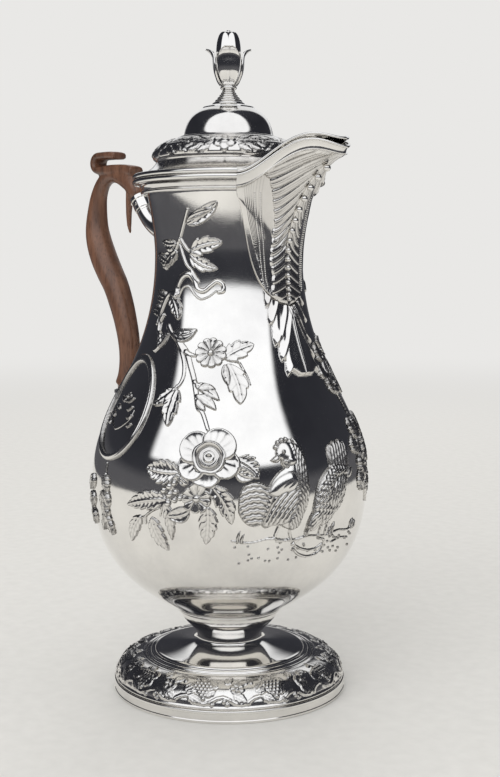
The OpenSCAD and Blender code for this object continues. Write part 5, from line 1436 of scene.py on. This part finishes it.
def mirrored_tent():
    """Dark cloth round the set, with a large window in front and a smaller one behind. Only the silver
    sees it, as the greys and the bright panes it mirrors."""
    bpy.ops.mesh.primitive_uv_sphere_add(segments=64, ring_count=32, radius=1.0)
    tent = bpy.context.object
    tent.name = "tent"
    material, tree, place = new_material("studio tent")
    part = add(tree, "ShaderNodeSeparateXYZ", Vector=place).outputs
    around = add(tree, "ShaderNodeMath", {"operation": "ARCTAN2"}, _0=part["Y"], _1=part["X"])
    height = add(tree, "ShaderNodeMath", {"operation": "SUBTRACT"}, _0=part["Z"], _1=0.15)
    shown = add(tree, "ShaderNodeValToRGB", {"stops": [(0.0, "#57575B"), (0.10, "#34353B"), (0.55, "#2A2B31"),
                                                       (1.0, "#3C3D43")]}, Fac=height)
    # each window: azimuth, half width, lower and upper edge, softness sideways and upwards (degrees), light
    for az, wide, low, high, soft_az, soft_z, light in ((-51, 60, 12, 84, 7, 3, (1.12, 1.14, 1.18, 1)),
                                                        (128, 24, 14, 66, 8, 6, (0.85, 0.86, 0.88, 1))):
        turn = add(tree, "ShaderNodeMath", {"operation": "SUBTRACT"}, _0=around, _1=az * DEG)
        turn = add(tree, "ShaderNodeMath", {"operation": "WRAP"}, _0=turn, _1=math.pi, _2=-math.pi)
        turn = add(tree, "ShaderNodeMath", {"operation": "ABSOLUTE"}, _0=turn)
        within = 1.0
        for value, start, end, inner, outer in (
                (height, math.sin(low * DEG), math.sin((low + soft_z) * DEG), 0.0, 1.0),
                (height, math.sin(high * DEG), math.sin((high + soft_z) * DEG), 1.0, 0.0),
                (turn, wide * DEG, (wide + soft_az) * DEG, 1.0, 0.0)):
            edge = add(tree, "ShaderNodeMapRange", {"interpolation_type": "SMOOTHSTEP"}, Value=value,
                       From_Min=start, From_Max=end, To_Min=inner, To_Max=outer)
            within = add(tree, "ShaderNodeMath", {"operation": "MULTIPLY"}, _0=edge, _1=within)
        shown = add(tree, "ShaderNodeMix", {"data_type": "RGBA"}, Factor=within, A=shown, B=light).outputs["Result"]
    add(tree, "ShaderNodeOutputMaterial", Surface=add(tree, "ShaderNodeEmission", Color=shown, Strength=1.0))
    tent.data.materials.append(material)
    tent.visible_camera = tent.visible_diffuse = tent.visible_shadow = tent.visible_transmission = False


def place_in_scene(name, data, at, look):
    """An object that looks along a direction."""
    obj = bpy.data.objects.new(name, data)
    bpy.context.scene.collection.objects.link(obj)
    obj.location = at
    obj.rotation_euler = look.to_track_quat("-Z", "Y").to_euler()
    return obj


def lights_and_camera():
    """Soft light through the two windows, and the camera."""
    for name, at, size, power in (("window", (0.35, -1.2, 1.0), (1.3, 1.0), 9),
                                  ("rear", (-0.7, 0.9, 1.1), (0.6, 0.9), 3)):
        light = bpy.data.lights.new(name, "AREA")
        light.shape, light.size, light.size_y, light.energy = "RECTANGLE", size[0], size[1], power
        lamp = place_in_scene(name, light, at, Vector((0, 0, 0.15)) - Vector(at))
        lamp.visible_camera = lamp.visible_glossy = False
    eye = bpy.data.cameras.new("camera")
    eye.sensor_width, eye.lens, eye.clip_start = 36.0, 36.0 * 1194 / 777, 0.01
    turn, dip = 1.008 * DEG, 5.37 * DEG
    ahead = Vector((-0.3925, 0.4064, 0)).normalized()
    right = Vector((ahead.y, -ahead.x, 0))
    look = (ahead * math.cos(turn) + right * math.sin(turn)) * math.cos(dip) - Vector((0, 0, math.sin(dip)))
    bpy.context.scene.camera = place_in_scene("camera", eye, (0.3925, -0.4064, 0.1965), look)
    bpy.context.scene.view_settings.view_transform = "Standard"


floor_and_background()
mirrored_tent()
lights_and_camera()

for name, node in frame["nodes"].items():
    node.data.materials.clear()
    node.data.materials.append(carved_wood if name == "handle_grip" else polished_silver)
